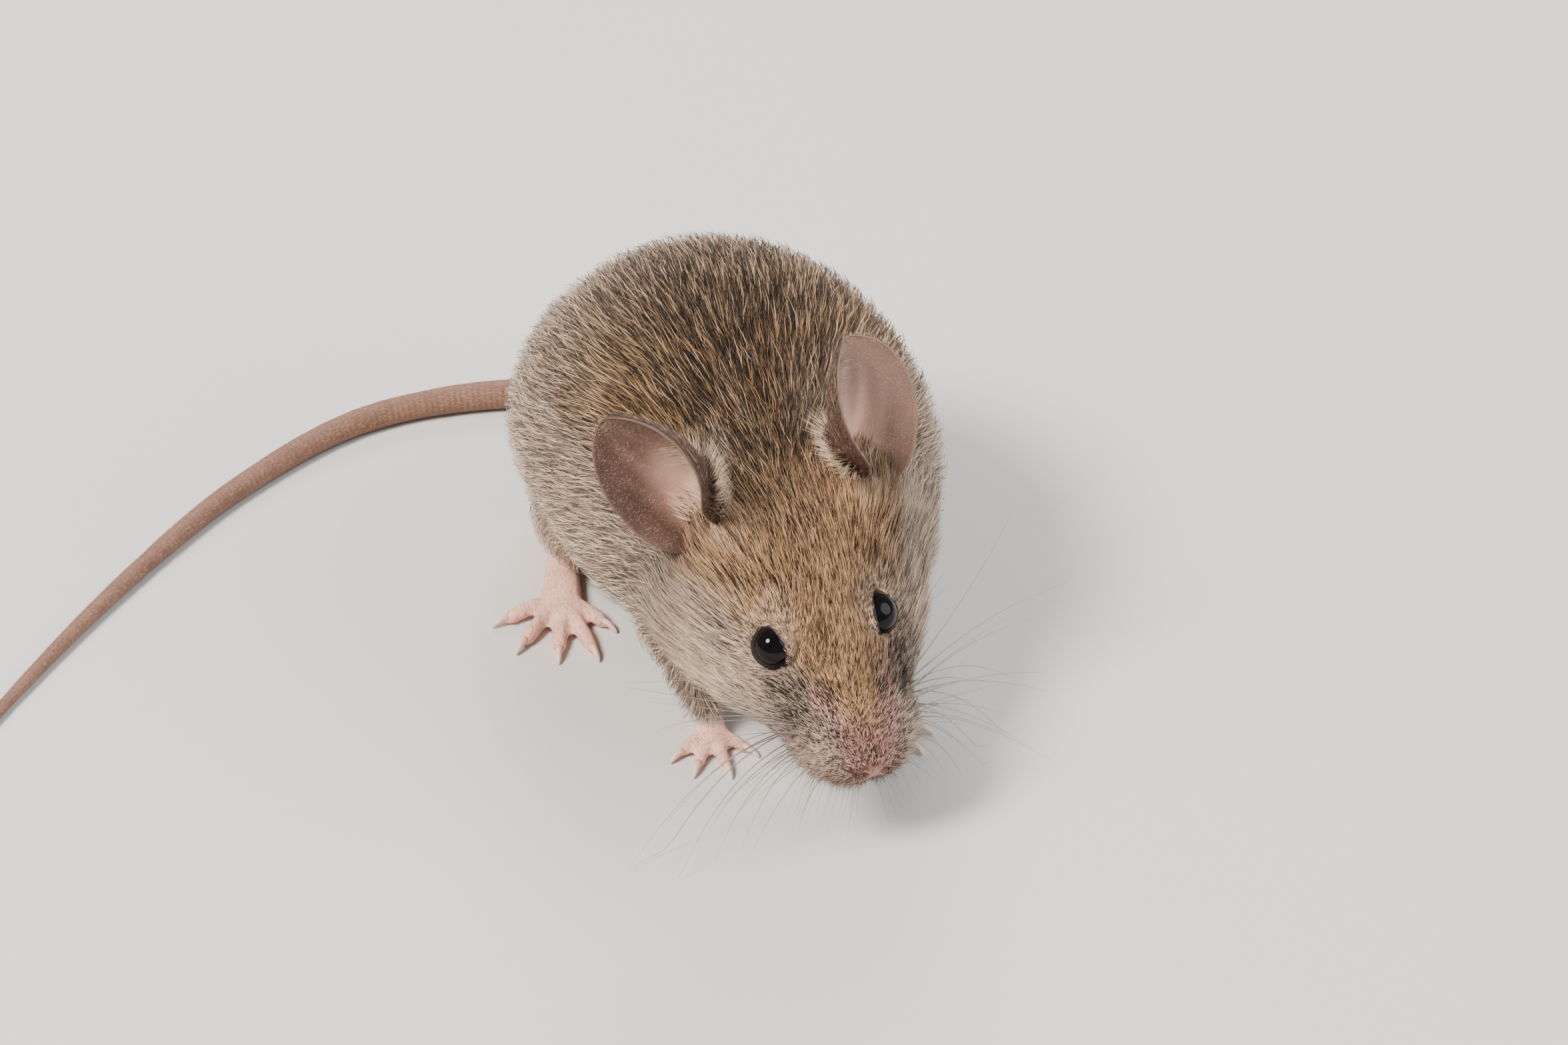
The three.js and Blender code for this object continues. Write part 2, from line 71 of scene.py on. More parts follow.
_cp, _sp = math.cos(HEAD_PITCH), math.sin(HEAD_PITCH)
_cy, _sy = math.cos(HEAD_YAW), math.sin(HEAD_YAW)
HEAD_AXES = np.array([[_cy, _sy, 0.0], [-_sy * _cp, _cy * _cp, _sp], [_sy * _sp, -_cy * _sp, _cp]])


def head_to_body(points):
    return np.asarray(points, float) @ HEAD_AXES + EYE_MIDPOINT


def body_to_head(points):
    return (points - EYE_MIDPOINT) @ HEAD_AXES.T


def eye_in_head(side):
    return EYE_MIDDLE + [side * EYE_OUT, 0, 0]


def eye_centre(side):
    return head_to_body(eye_in_head(side))


def frame_shift():
    """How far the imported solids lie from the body's frame, in millimetres."""
    low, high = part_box("eye_left")
    packed = np.array([(a + b) / 2 for a, b in zip(low, high)]) / MM
    return packed - eye_centre(SIDES["left"])


SHIFT = frame_shift()

# ------------------------------------------------------------------ number helpers


def ramp(value, start, end):
    """Smooth step from 0 at start to 1 at end; start may be the larger one."""
    t = np.clip((value - start) / (end - start), 0.0, 1.0)
    return t * t * (3.0 - 2.0 * t)


def unit(vectors):
    return vectors / np.maximum(np.linalg.norm(vectors, axis=-1, keepdims=True), 1e-9)


def laid_flat(ways, normals):
    """Unit directions with what points out of the surface taken away."""
    return unit(ways - normals * (ways * normals).sum(1, keepdims=True))


def eye_distance(points):
    """Millimetres from each point to the centre of the nearer eye."""
    return np.min([np.linalg.norm(points - eye_centre(side), axis=1) for side in SIDES.values()], axis=0)


def bump_at(points, centre, radii):
    """A soft round mask, 1 at a centre and fading over radii."""
    offset = (points - np.asarray(centre)) / np.asarray(radii)
    return np.exp(-(offset**2).sum(-1))


def hash_noise(points, scale, seed=0):
    """Smooth random values from -1 to 1 over space, about one cell per scale."""
    rng = np.random.default_rng(seed)
    waves = unit(rng.normal(size=(9, 3))) * (2.0 * math.pi / scale) * rng.uniform(0.6, 1.5, (9, 1))
    phases = rng.uniform(0, 2 * math.pi, 9)
    return np.sin(points @ waves.T + phases).mean(-1) * 1.9


def catmull(points, t):
    """Points on a smooth curve through points, for t from 0 to 1."""
    points = np.asarray(points, float)
    padded = np.vstack([2 * points[0] - points[1], points, 2 * points[-1] - points[-2]])
    s = np.clip(np.asarray(t, float), 0, 1) * (len(points) - 1)
    i = np.minimum(s.astype(int), len(points) - 2)
    f = (s - i)[:, None]
    a, b, c, d = (padded[i + k] for k in range(4))
    return 0.5 * (2 * b + (c - a) * f + (2 * a - 5 * b + 4 * c - d) * f**2 + (3 * b - a - 3 * c + d) * f**3)


# ------------------------------------------------------------------ mesh helpers


def link_new(name, data):
    """A new object in the scene that holds data."""
    made = bpy.data.objects.new(name, data)
    bpy.context.collection.objects.link(made)
    return made


def mesh_object(name, vertices, faces):
    """A smooth mesh object from body-frame millimetres; faces all have the same number of corners."""
    faces = np.asarray(faces, np.int32)
    mesh = bpy.data.meshes.new(name)
    mesh.vertices.add(len(vertices))
    mesh.vertices.foreach_set("co", ((vertices + SHIFT) * MM).astype(np.float32).ravel())
    mesh.loops.add(faces.size)
    mesh.loops.foreach_set("vertex_index", faces.ravel())
    mesh.polygons.add(len(faces))
    mesh.polygons.foreach_set("loop_start", np.arange(0, faces.size, faces.shape[1], dtype=np.int32))
    mesh.update(calc_edges=True)
    mesh.polygons.foreach_set("use_smooth", np.full(len(faces), True))
    mesh.validate()
    return link_new(name, mesh)


def set_attribute(mesh, name, values):
    layer = mesh.attributes.get(name) or mesh.attributes.new(name, "FLOAT", "POINT")
    layer.data.foreach_set("value", np.asarray(values, np.float32))


def get_attribute(mesh, name):
    values = np.empty(len(mesh.vertices), np.float32)
    mesh.attributes[name].data.foreach_get("value", values)
    return values.astype(float)


def mesh_points(mesh):
    """A mesh's vertices in the body's frame, in millimetres."""
    flat = np.empty(len(mesh.vertices) * 3, np.float32)
    mesh.vertices.foreach_get("co", flat)
    return flat.reshape(-1, 3).astype(float) / MM - SHIFT


def put_points(mesh, points):
    mesh.vertices.foreach_set("co", ((points + SHIFT) * MM).astype(np.float32).ravel())
    mesh.update()


def mesh_normals(mesh):
    flat = np.empty(len(mesh.vertices) * 3, np.float32)
    mesh.vertex_normals.foreach_get("vector", flat)
    return flat.reshape(-1, 3).astype(float)


def corner_indices(mesh):
    """The vertex at each corner of each face, one after the other."""
    flat = np.empty(len(mesh.loops), np.int32)
    mesh.loops.foreach_get("vertex_index", flat)
    return flat


def mesh_edges(mesh):
    flat = np.empty(len(mesh.edges) * 2, np.int32)
    mesh.edges.foreach_get("vertices", flat)
    return flat.reshape(-1, 2)


def spread(values, edges, rounds, amount=0.5):
    """Each vertex's values move by amount towards the mean of its neighbours', rounds times."""
    values = np.array(values, float)
    columns = values.reshape(len(values), -1)
    count = len(columns)
    degree = np.maximum(np.bincount(edges.ravel(), minlength=count), 1)
    for _ in range(rounds):
        for k in range(columns.shape[1]):
            column = columns[:, k]
            total = np.bincount(edges[:, 0], column[edges[:, 1]], count)
            total += np.bincount(edges[:, 1], column[edges[:, 0]], count)
            columns[:, k] = column + amount * (total / degree - column)
    return columns.reshape(values.shape)


def ring_faces(rings, sides, triangles):
    """Faces between neighbouring rings; triangles name the corners of each gap's four-sided cells."""
    here = np.arange(sides)
    following = (here + 1) % sides
    faces = []
    for ring in range(rings - 1):
        low, high = ring * sides, (ring + 1) * sides
        cell = (low + here, low + following, high + following, high + here)
        faces += [np.stack([cell[corner] for corner in triangle], 1) for triangle in triangles]
    return faces


def tube(centres, radii, sides):
    """Vertices and triangles of a closed round tube along centres, with a flat fan at each end."""
    centres = np.asarray(centres, float)
    radii = np.broadcast_to(radii, len(centres))
    travel = unit(np.gradient(centres, axis=0))
    lean = np.where(np.abs(travel[:, 2:]) > 0.9, [[0.0, 1.0, 0.0]], [[0.0, 0.0, 1.0]])
    across = unit(np.cross(travel, lean))
    up = np.cross(across, travel)
    angle = np.arange(sides) / sides * 2 * math.pi
    ring = across[:, None] * np.cos(angle)[:, None] + up[:, None] * np.sin(angle)[:, None]
    body = centres[:, None] + ring * radii[:, None, None]
    vertices = np.vstack([body.reshape(-1, 3), centres[:1], centres[-1:]])
    count = len(centres)
    k = np.arange(sides)
    nxt = (k + 1) % sides
    start, end = count * sides, count * sides + 1
    last = (count - 1) * sides
    caps = [np.stack([np.full(sides, start), k, nxt], 1)]
    caps.append(np.stack([np.full(sides, end), last + nxt, last + k], 1))
    return vertices, np.vstack(ring_faces(count, sides, ((0, 2, 1), (0, 3, 2))) + caps)


def stack_shapes(shapes):
    """Joins (vertices, faces) pairs into one pair."""
    vertices, faces, start = [], [], 0
    for v, f in shapes:
        vertices.append(v)
        faces.append(np.asarray(f) + start)
        start += len(v)
    return np.vstack(vertices), np.vstack(faces)


def remove_piece(name):
    old = bpy.data.objects.get(name)
    if old is not None:
        bpy.data.objects.remove(old, do_unlink=True)


def settle(piece, slot, *nodes):
    """The finished piece rides on the still animal, and the given solids are hidden; slot is not used."""
    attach(piece, "root")
    if nodes:
        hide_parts(*nodes)


# ------------------------------------------------------------------ sizes

FLESH = [
    "trunk", "neck", "head", "nose", "lower_jaw",
    "foreleg_right", "foreleg_left", "hindleg_right", "hindleg_left",
    "forefoot_right", "forefoot_left", "hindfoot_right", "hindfoot_left",
    "tail_base", "tail_middle", "tail_tip",
]
EARS_CAD = ["ear_right", "ear_left"]
GROW = 0.2  # the solids swell by this before they merge, which closes the cuts
VOXEL = 0.2
SOCKET_FILL = 1.95  # radius of the ball that fills each eye socket before the merge
SOCKET_OFFSET = np.array([0.35, -0.3, 0.6])  # from that ball's middle to the eyeball's, on the left
FLESH_SMOOTHING = 130  # rounds that take the facets of the solids out of the skin
MASK_SMOOTHING = 12  # rounds that soften the masks where two solids meet
FACE_BEHIND_EYES = -4.0  # where the finely meshed face ends, in the head's frame
MUZZLE_FRONT = -7.8
EYE_SURROUND = 4.2
SKIN_KEPT = 0.3  # share of the merged skin's triangles that is kept

REGIONS = ("trunk", "neck", "head", "nose", "leg", "foot", "tail")

EAR = {"length": 12.6, "inner_root": 2.2, "inner_wide": 5.3, "inner_widest": 0.45,
       "thickness": 0.42, "root_curl": 84.0, "tip_curl": 53.0, "inner_curl": 1.45,
       "outer_curl": 0.66, "dish": 0.3, "lobe_start": 0.16, "lobe_length": 0.26, "low_end": -0.135}
# How strongly painted shade darkens each ear's leaf is given in each ear's entry: the near right ear takes it
# in full (1.0), the far left ear little (0.15), and its hollow is painted lighter pink instead.
EARS = {
    "right": {"root": (-5.5, 9.2, 2.1), "stands": (-0.58, 0.62, 0.52), "faces": (-0.27, -0.755, 0.6),
              "dusk": 1.0, "inner": -1.0,
              "outer_root": 4.5, "outer_wide": 4.95, "outer_widest": 0.3, "fold": 0.42},
    "left": {"root": (6.8, 8.8, 1.9), "stands": (-0.02, 0.64, 0.765), "faces": (0.2, -0.735, 0.65),
             "dusk": 0.15, "inner": 1.0,
             "outer_root": 4.6, "outer_wide": 5.35, "outer_widest": 0.38, "fold": 0.30},
}
EAR_LEVELS, EAR_STEPS = 52, 41

# Feet: middle of the ball on the floor, turn outwards in degrees, side, and whether hind.
FEET = {
    "hindfoot_right": ((-13.3, 15.3), 14.0, -1.0, True),
    "hindfoot_left": ((12.4, 17.5), 8.0, 1.0, True),
    "forefoot_right": ((-5.6, -2.4), 10.0, -1.0, False),
    "forefoot_left": ((7.6, -4.2), 6.0, 1.0, False),
}
HIND_TOES = ((-50, 2.2), (-24, 4.2), (1, 3.4), (30, 3.6), (62, 2.4))
FORE_TOES = ((-50, 1.6), (-14, 2.3), (20, 2.2), (48, 1.6))
BALL = {True: 2.0, False: 1.5}
TOE_RADIUS = {True: 0.62, False: 0.5}
TOE_FAN = 40.0

TAIL_ROUTE = [(-1.2, 31.6, 5.6), (-2.2, 36.0, 3.4), (-6.2, 40.2, 1.3), (-13.0, 42.4, 1.3),
              (-23.8, 42.0, 1.2), (-35.2, 36.2, 1.0), (-45.7, 27.5, 0.9), (-55.3, 17.8, 0.7),
              (-63.5, 8.4, 0.5)]


# ------------------------------------------------------------------ markings
# Soft masks over the body, shared by skin and coat so that both carry the same markings. Some of them paint
# light: a painted sheen over the rump and painted shade in hollows of the face.


BROW_EDGE = ((-10.5, -7.0, -5.0, -2.0, 2.0, 6.0, 12.0), (0.9, 1.7, 2.7, 4.3, 6.6, 8.4, 8.6))
BACK_DARK = ((-8.0, 0.0, 10.0, 16.0, 30.0), (0.55, 1.0, 1.0, 0.5, 0.3))
BACK_TAN = ((-8.0, 8.0, 16.0, 26.0, 34.0), (1.0, 1.0, 0.55, 0.35, 0.45))
PINK_BAND = ((2.7, -5.6, 0.4), (1.7, -7.6, -0.2), (0.9, -10.4, -1.6))  # left side, head's frame


# Soft patches on the face: centre and radii on the left side, in the head's frame.
WHISKER_PAD = ((3.2, -8.8, -2.8), (1.9, 2.4, 2.0))
# dark hairs with painted shade in the hollow behind the whisker pad
DARK_HAIR_AND_PAINTED_SHADE_BEHIND_PAD = ((4.4, -5.2, -1.1), (1.5, 2.4, 1.6))
# painted shade in the groove beside the bridge of the nose
PAINTED_SHADE_IN_GROOVE_BESIDE_BRIDGE = ((2.0, -6.2, 0.3), (0.5, 1.3, 0.9))
NOSE_PAD = ((0.0, -11.4, -2.7), (1.5, 1.0, 1.1))
BEHIND_EAR = (2.4, 5.0, 2.0)  # from an ear's root, inwards


def segment_gap(points, start, end):
    """Distance from points to the straight line between two places."""
    start, end = np.asarray(start), np.asarray(end)
    along = np.clip(((points - start) @ (end - start)) / ((end - start) @ (end - start)), 0, 1)
    return np.linalg.norm(points - start - along[:, None] * (end - start), axis=1)


def ear_cup(name):
    """Where an ear's hollow meets the head, in the head's frame."""
    return np.array(EARS[name]["root"]) + 1.4 * unit(np.array(EARS[name]["faces"]))


def markings(points):
    """Masks from 0 to 1 at body-frame points: back, tan, pale, pink and shade."""
    h = body_to_head(points)
    hx, hy, hz = np.abs(h[:, 0]), h[:, 1], h[:, 2]
    mirrored = np.stack([hx, hy, hz], 1)
    on_head = ramp(hy, 13.0, 8.0) * ramp(points[:, 1], 6.0, 1.0)
    wander = hash_noise(points, 7.0, 3)
    around = np.arctan2(np.abs(points[:, 0] - 0.2), points[:, 2] - 13.0) + 0.14 * wander

    trunk_back = ramp(around, 0.95, 0.1) * np.interp(points[:, 1], *BACK_DARK)
    crown = ramp(hx + 0.6 * wander, 4.6, 1.0) * ramp(hy, 1.0, 8.0)
    back = (1 - on_head) * trunk_back + on_head * 0.5 * crown

    brow_edge = np.interp(hy, *BROW_EDGE)
    brow = ramp(hx + 0.5 * wander, brow_edge + 1.3, brow_edge - 1.1) * ramp(hz, -3.0, -0.8)
    tan = on_head * brow + (1 - on_head) * ramp(around, 1.3, 0.55) * np.interp(points[:, 1], *BACK_TAN)

    cheek = ramp(hx, 4.0, 7.0) * ramp(hz, 3.0, -1.5) * (1 - 0.45 * ramp(hy, -1.0, 5.0))
    # painted sheen: the top of the back towards the rump is painted paler and greyer, as though it caught the
    # light of the sky
    painted_sheen_on_rump = 0.95 * ramp(points[:, 1], 13.0, 26.0) * (0.4 + 0.6 * ramp(around, 0.1, 0.6))
    flank = np.maximum(0.95 * ramp(around, 0.6, 1.35), painted_sheen_on_rump)
    pale = on_head * cheek + (1 - on_head) * flank
    for name, side in SIDES.items():
        behind_ear = np.array(EARS[name]["root"]) + np.array(BEHIND_EAR) * [-side, 1, 1]
        pale = np.maximum(pale, 0.95 * bump_at(h, behind_ear, (1.7, 3.0, 2.4)))
        before_ear = bump_at(h, ear_cup(name), (2.2, 2.0, 2.0))
        pale = np.maximum(pale, 0.7 * before_ear)
        back = back * (1 - 0.8 * before_ear)
    gap = lid_gap(points)
    pale = np.maximum(pale, 0.45 * ramp(gap + 0.5 * wander, 1.9, 0.3))
    pad = bump_at(mirrored, *WHISKER_PAD)
    pale = np.maximum(pale, 0.85 * pad)
    pale = np.maximum(pale, 0.8 * ramp(hz, -4.0, -6.0) * on_head)

    band = np.minimum(segment_gap(mirrored, PINK_BAND[0], PINK_BAND[1]),
                      segment_gap(mirrored, PINK_BAND[1], PINK_BAND[2]))
    pink = ramp(band + 0.25 * hash_noise(points, 1.3, 8), 1.25, 0.45)
    pink = np.maximum(pink, 0.8 * ramp(hy, -6.8, -9.0) * ramp(hx, 2.6, 1.2) * ramp(hz, -3.4, -2.2))
    pink = np.maximum(pink, 0.35 * pad) * on_head

    streaks = np.clip(0.1 + 0.3 * hash_noise(points, 1.5, 9), 0, 0.4)
    shade = streaks * np.clip(cheek + 0.5 * ramp(hy, -4.5, -7.5), 0, 1) * ramp(gap, 0.3, 1.2)
    # dark hairs with painted shade in the hollow behind each whisker pad
    shade = np.maximum(shade, 0.42 * bump_at(mirrored, *DARK_HAIR_AND_PAINTED_SHADE_BEHIND_PAD))
    # painted shade in the groove beside the bridge of the nose
    shade = np.maximum(shade, 0.8 * bump_at(mirrored, *PAINTED_SHADE_IN_GROOVE_BESIDE_BRIDGE))
    shade = np.maximum(shade, 0.7 * ramp(gap, 0.3, 0.08))
    return {"back": back, "tan": tan, "pale": np.clip(pale, 0, 1), "pink": pink, "shade": shade * on_head}


# ------------------------------------------------------------------ skin


def grown_flesh():
    """The flesh solids, welded and swollen, with the solid that each face came from."""
    joined = bmesh.new()
    owners = []
    for name in FLESH:
        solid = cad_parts[name]
        part = bmesh.new()
        part.from_mesh(solid.data)
        part.transform(solid.matrix_world)
        bmesh.ops.remove_doubles(part, verts=part.verts, dist=1e-6)
        part.normal_update()
        shifts = [v.normal * (GROW * MM) for v in part.verts]
        for vertex, move in zip(part.verts, shifts):
            vertex.co += move
        mesh = bpy.data.meshes.new("swollen")
        part.to_mesh(mesh)
        part.free()
        joined.from_mesh(mesh)
        owners += [name] * len(mesh.polygons)
        bpy.data.meshes.remove(mesh)
    # the eye sockets are filled here and shaped again as lids later on
    for side in SIDES.values():
        inwards = head_to_body(eye_in_head(side) - SOCKET_OFFSET * [side, 1, 1])
        place = Vector((inwards + SHIFT) * MM)
        made = bmesh.ops.create_icosphere(joined, subdivisions=3, radius=SOCKET_FILL * MM)
        bmesh.ops.translate(joined, verts=made["verts"], vec=place)
    owners += ["head"] * (len(joined.faces) - len(owners))
    return joined, owners


def region_of(node):
    for region in ("foot", "leg", "tail"):
        if region in node:
            return region
    return "head" if node == "lower_jaw" else node


def merged_skin():
    """One closed mesh round all the flesh, with a soft 0 to 1 mask for each region."""
    joined, owners = grown_flesh()
    tree = BVHTree.FromBMesh(joined)
    mesh = bpy.data.meshes.new("skin")
    joined.to_mesh(mesh)
    joined.free()
    skin = link_new("skin", mesh)
    remesh = skin.modifiers.new("merge", "REMESH")
    remesh.mode = "VOXEL"
    remesh.voxel_size = VOXEL * MM
    graph = bpy.context.evaluated_depsgraph_get()
    merged = bpy.data.meshes.new_from_object(skin.evaluated_get(graph))
    skin.modifiers.clear()
    skin.data = merged
    bpy.data.meshes.remove(mesh)
    merged.name = "skin"

    points = mesh_points(merged)
    edges = mesh_edges(merged)
    masks = np.zeros((len(points), len(REGIONS)))
    index = {region: k for k, region in enumerate(REGIONS)}
    owner_index = [index[region_of(owner)] for owner in owners]
    for i, co in enumerate((points + SHIFT) * MM):
        masks[i, owner_index[tree.find_nearest(co)[2]]] = 1.0
    masks = spread(masks, edges, MASK_SMOOTHING)
    return skin, points, edges, masks


def smoothing_strength(points, masks):
    head, nose, foot, tail = (masks[:, REGIONS.index(r)] for r in ("head", "nose", "foot", "tail"))
    fine = np.clip(foot + 0.75 * tail + 0.7 * nose, 0, 1)
    h = body_to_head(points)
    nape = ramp(h[:, 1], 3.0, 7.0) * ramp(points[:, 1], 8.0, 3.0)
    return 0.5 * (1 - 0.93 * fine) * (1 - 0.45 * head * (1 - nape))


def coat_depth(points, masks, settings):
    """How far the skin is drawn in from the swollen solids: the coat's depth and the swelling."""
    depth = settings.coat_depth / MM
    h = body_to_head(points)
    along_head = ramp(h[:, 1], -10.0, 4.0)
    depths = {
        "trunk": depth, "neck": depth * 0.9, "head": 0.12 + 0.38 * along_head,
        "nose": 0.0, "leg": depth * 0.55 * ramp(points[:, 2], 1.5, 6.0), "foot": 0.0, "tail": 0.0,
    }
    inset = sum(masks[:, k] * depths[region] for k, region in enumerate(REGIONS))
    return inset + GROW * (1 - 0.3 * masks[:, REGIONS.index("foot")])


def refine_face(skin):
    """Splits the edges round the eyes and on the front of the muzzle."""
    work = bmesh.new()
    work.from_mesh(skin.data)
    points = mesh_points(skin.data)
    h = body_to_head(points)
    near = (h[:, 1] < MUZZLE_FRONT) & (np.abs(h[:, 0]) < 6) | (eye_distance(points) < LID_REACH)
    work.verts.ensure_lookup_table()
    edges = [e for e in work.edges if near[e.verts[0].index] and near[e.verts[1].index]]
    bmesh.ops.subdivide_edges(work, edges=edges, cuts=1, use_grid_fill=True, smooth=0.0)
    bmesh.ops.triangulate(work, faces=work.faces)
    work.to_mesh(skin.data)
    work.free()
    skin.data.update()


# Where each opening between the lids faces, in the head's frame.
EYE_OUTWARDS = {"right": (-0.74, -0.27, 0.61), "left": (0.52, -0.27, 0.81)}
OPENING_LONG, OPENING_SHORT = 72.0, 50.0  # half angles of the opening seen from the eyeball's centre
LID_REACH = 3.8  # lids are shaped this far from an eyeball's centre,
LID_FULL = 2.8  # and in full up to here
LID_CLEARANCE = 0.03  # between eyeball and lid


def lid_reach(points, name, side):
    """How far each point is from the middle of an opening: 1 at the edge of the lids."""
    centre = eye_centre(side)
    outwards = unit(np.array(EYE_OUTWARDS[name]) @ HEAD_AXES)
    forward = np.array([side * -0.12, -1.0, -0.25]) @ HEAD_AXES
    forward = unit(forward - outwards * (forward @ outwards))
    upward = np.cross(outwards, forward) * -side
    way = unit(points - centre)
    angle = np.degrees(np.arccos(np.clip(way @ outwards, -1, 1)))
    bearing = np.arctan2(way @ upward, way @ forward)
    along, beside = np.cos(bearing), np.sin(bearing)
    opening = 1.0 / np.sqrt((along / OPENING_LONG) ** 2 + (beside / OPENING_SHORT) ** 2)
    opening += 5.0 * np.clip(along, 0, 1) ** 8  # drawn out to its front corner
    return angle / opening, angle


def lid_gap(points):
    """Millimetres from the edge of the nearest opening, over the eyeball's face."""
    gap = np.full(len(points), 99.0)
    for name, side in SIDES.items():
        reach, angle = lid_reach(points, name, side)
        distance = np.linalg.norm(points - eye_centre(side), axis=1)
        rise = np.radians(angle * (1 - 1 / np.maximum(reach, 1e-3))) * EYE_RADIUS
        gap = np.minimum(gap, np.hypot(np.maximum(rise, 0), np.maximum(distance - EYE_RADIUS - 0.1, 0)))
    return gap


def shape_lids(points):
    """Raises a rolled lid round each eyeball and clears the opening between the lids."""
    points = points.copy()
    for name, side in SIDES.items():
        centre = eye_centre(side)
        offset = points - centre
        distance = np.linalg.norm(offset, axis=1)
        near = distance < LID_REACH
        way = unit(offset[near])
        r = distance[near]
        q, angle = lid_reach(points[near], name, side)
        lip = EYE_RADIUS + LID_CLEARANCE + 0.09 * np.sin(np.clip((q - 1.0) / 0.1, 0, 1) * math.pi / 2)
        inside = EYE_RADIUS * np.clip(1.02 - 1.5 * (1 - q), 0.6, 1.02)
        fold = 0.05 * np.exp(-(((q - 1.2) / 0.06) ** 2))
        keep = ramp(q, 1.06, 1.5)
        skin_out = np.maximum(r, EYE_RADIUS + 0.1)
        target = np.where(q < 1, inside, lip * (1 - keep) + skin_out * keep - fold)
        fade = ramp(r, LID_REACH, LID_FULL)
        front = angle < 125
        moved = centre + way * (r + (target - r) * fade)[:, None]
        selected = np.flatnonzero(near)[front]
        points[selected] = moved[front]
    return points


MUZZLE_FORMS = (
    # centre in the head's frame (left side), radius, and how far the skin moves out there
    ((3.3, -8.5, -2.7), 2.0, 0.62),  # whisker pad
    ((2.1, -6.3, 0.6), 0.9, -0.34),  # groove beside the bridge of the nose
    ((4.7, -5.2, -1.2), 1.3, -0.36),  # hollow behind the whisker pad
    ((1.9, -10.2, -3.0), 1.1, 0.22),  # front of the pad
    ((1.0, -10.9, -4.6), 1.0, 0.16),  # upper lip
    ((3.6, -1.6, 2.9), 1.6, 0.14),  # brow
    ((6.4, -1.5, -3.4), 2.2, 0.22),  # cheek
)
NOSE_FORMS = (
    ((0.0, -11.1, -2.4), (1.5, 0.9, 0.95), 0.22),  # nose pad
    ((0.85, -11.1, -2.7), (0.34, 0.8, 0.28), -0.7),  # nostril
    ((1.35, -10.9, -2.5), (0.35, 0.8, 0.16), -0.22),  # slit beside the nostril
)


def shape_muzzle(points, normals):
    """Whisker pads, nose pad, nostrils and the line of the mouth."""
    h = body_to_head(points)
    mirrored = np.abs(h[:, :1]) * [1, 0, 0] + h * [0, 1, 1]
    move = np.zeros(len(points))
    for centre, radius, height in MUZZLE_FORMS:
        move += height * bump_at(mirrored, centre, radius)
    for name, side in SIDES.items():
        root = np.array(EARS[name]["root"])
        move += 0.75 * bump_at(h, root + [0, -0.4, 0], 2.5)
        move += 0.65 * bump_at(h, root + [-side * 2.1, -0.3, 0], 1.5)
    front = ramp(h[:, 1], -5.5, -8.0) * ramp(h[:, 1], -11.2, -10.2)
    move += front * (0.07 * hash_noise(points, 0.55, 41) + 0.05 * hash_noise(points, 0.3, 42))
    for centre, radii, height in NOSE_FORMS:
        move += height * bump_at(mirrored, centre, radii)
    split = np.exp(-((mirrored[:, 0] / 0.16) ** 2)) * ramp(h[:, 2], -3.0, -3.3) * ramp(h[:, 1], -9.8, -10.4)
    move -= 0.30 * split
    mouth = np.exp(-(((h[:, 2] + 5.75 + 0.05 * h[:, 1]) / 0.2) ** 2)) * ramp(h[:, 1], -3.5, -6.0)
    move -= 0.25 * mouth * ramp(np.abs(h[:, 0]), 4.5, 2.5)
    return points + normals * move[:, None]


def rise_and_round(t, root, wide, widest):
    """Half the width of a leaf that is root wide at its foot and round at its tip."""
    lower = root + (wide - root) * ramp(t, 0.0, widest)
    above = np.clip((t - widest) / (1 - widest), 0, 1)
    return np.maximum(lower * np.sqrt(np.maximum(0, 1 - above**2)), 0.05)


def ear_directions(side_name):
    spec = EARS[side_name]
    axis = unit(np.array(spec["stands"]) @ HEAD_AXES)
    facing = np.array(spec["faces"]) @ HEAD_AXES
    facing = unit(facing - axis * (facing @ axis))
    return axis, facing, np.cross(facing, axis)


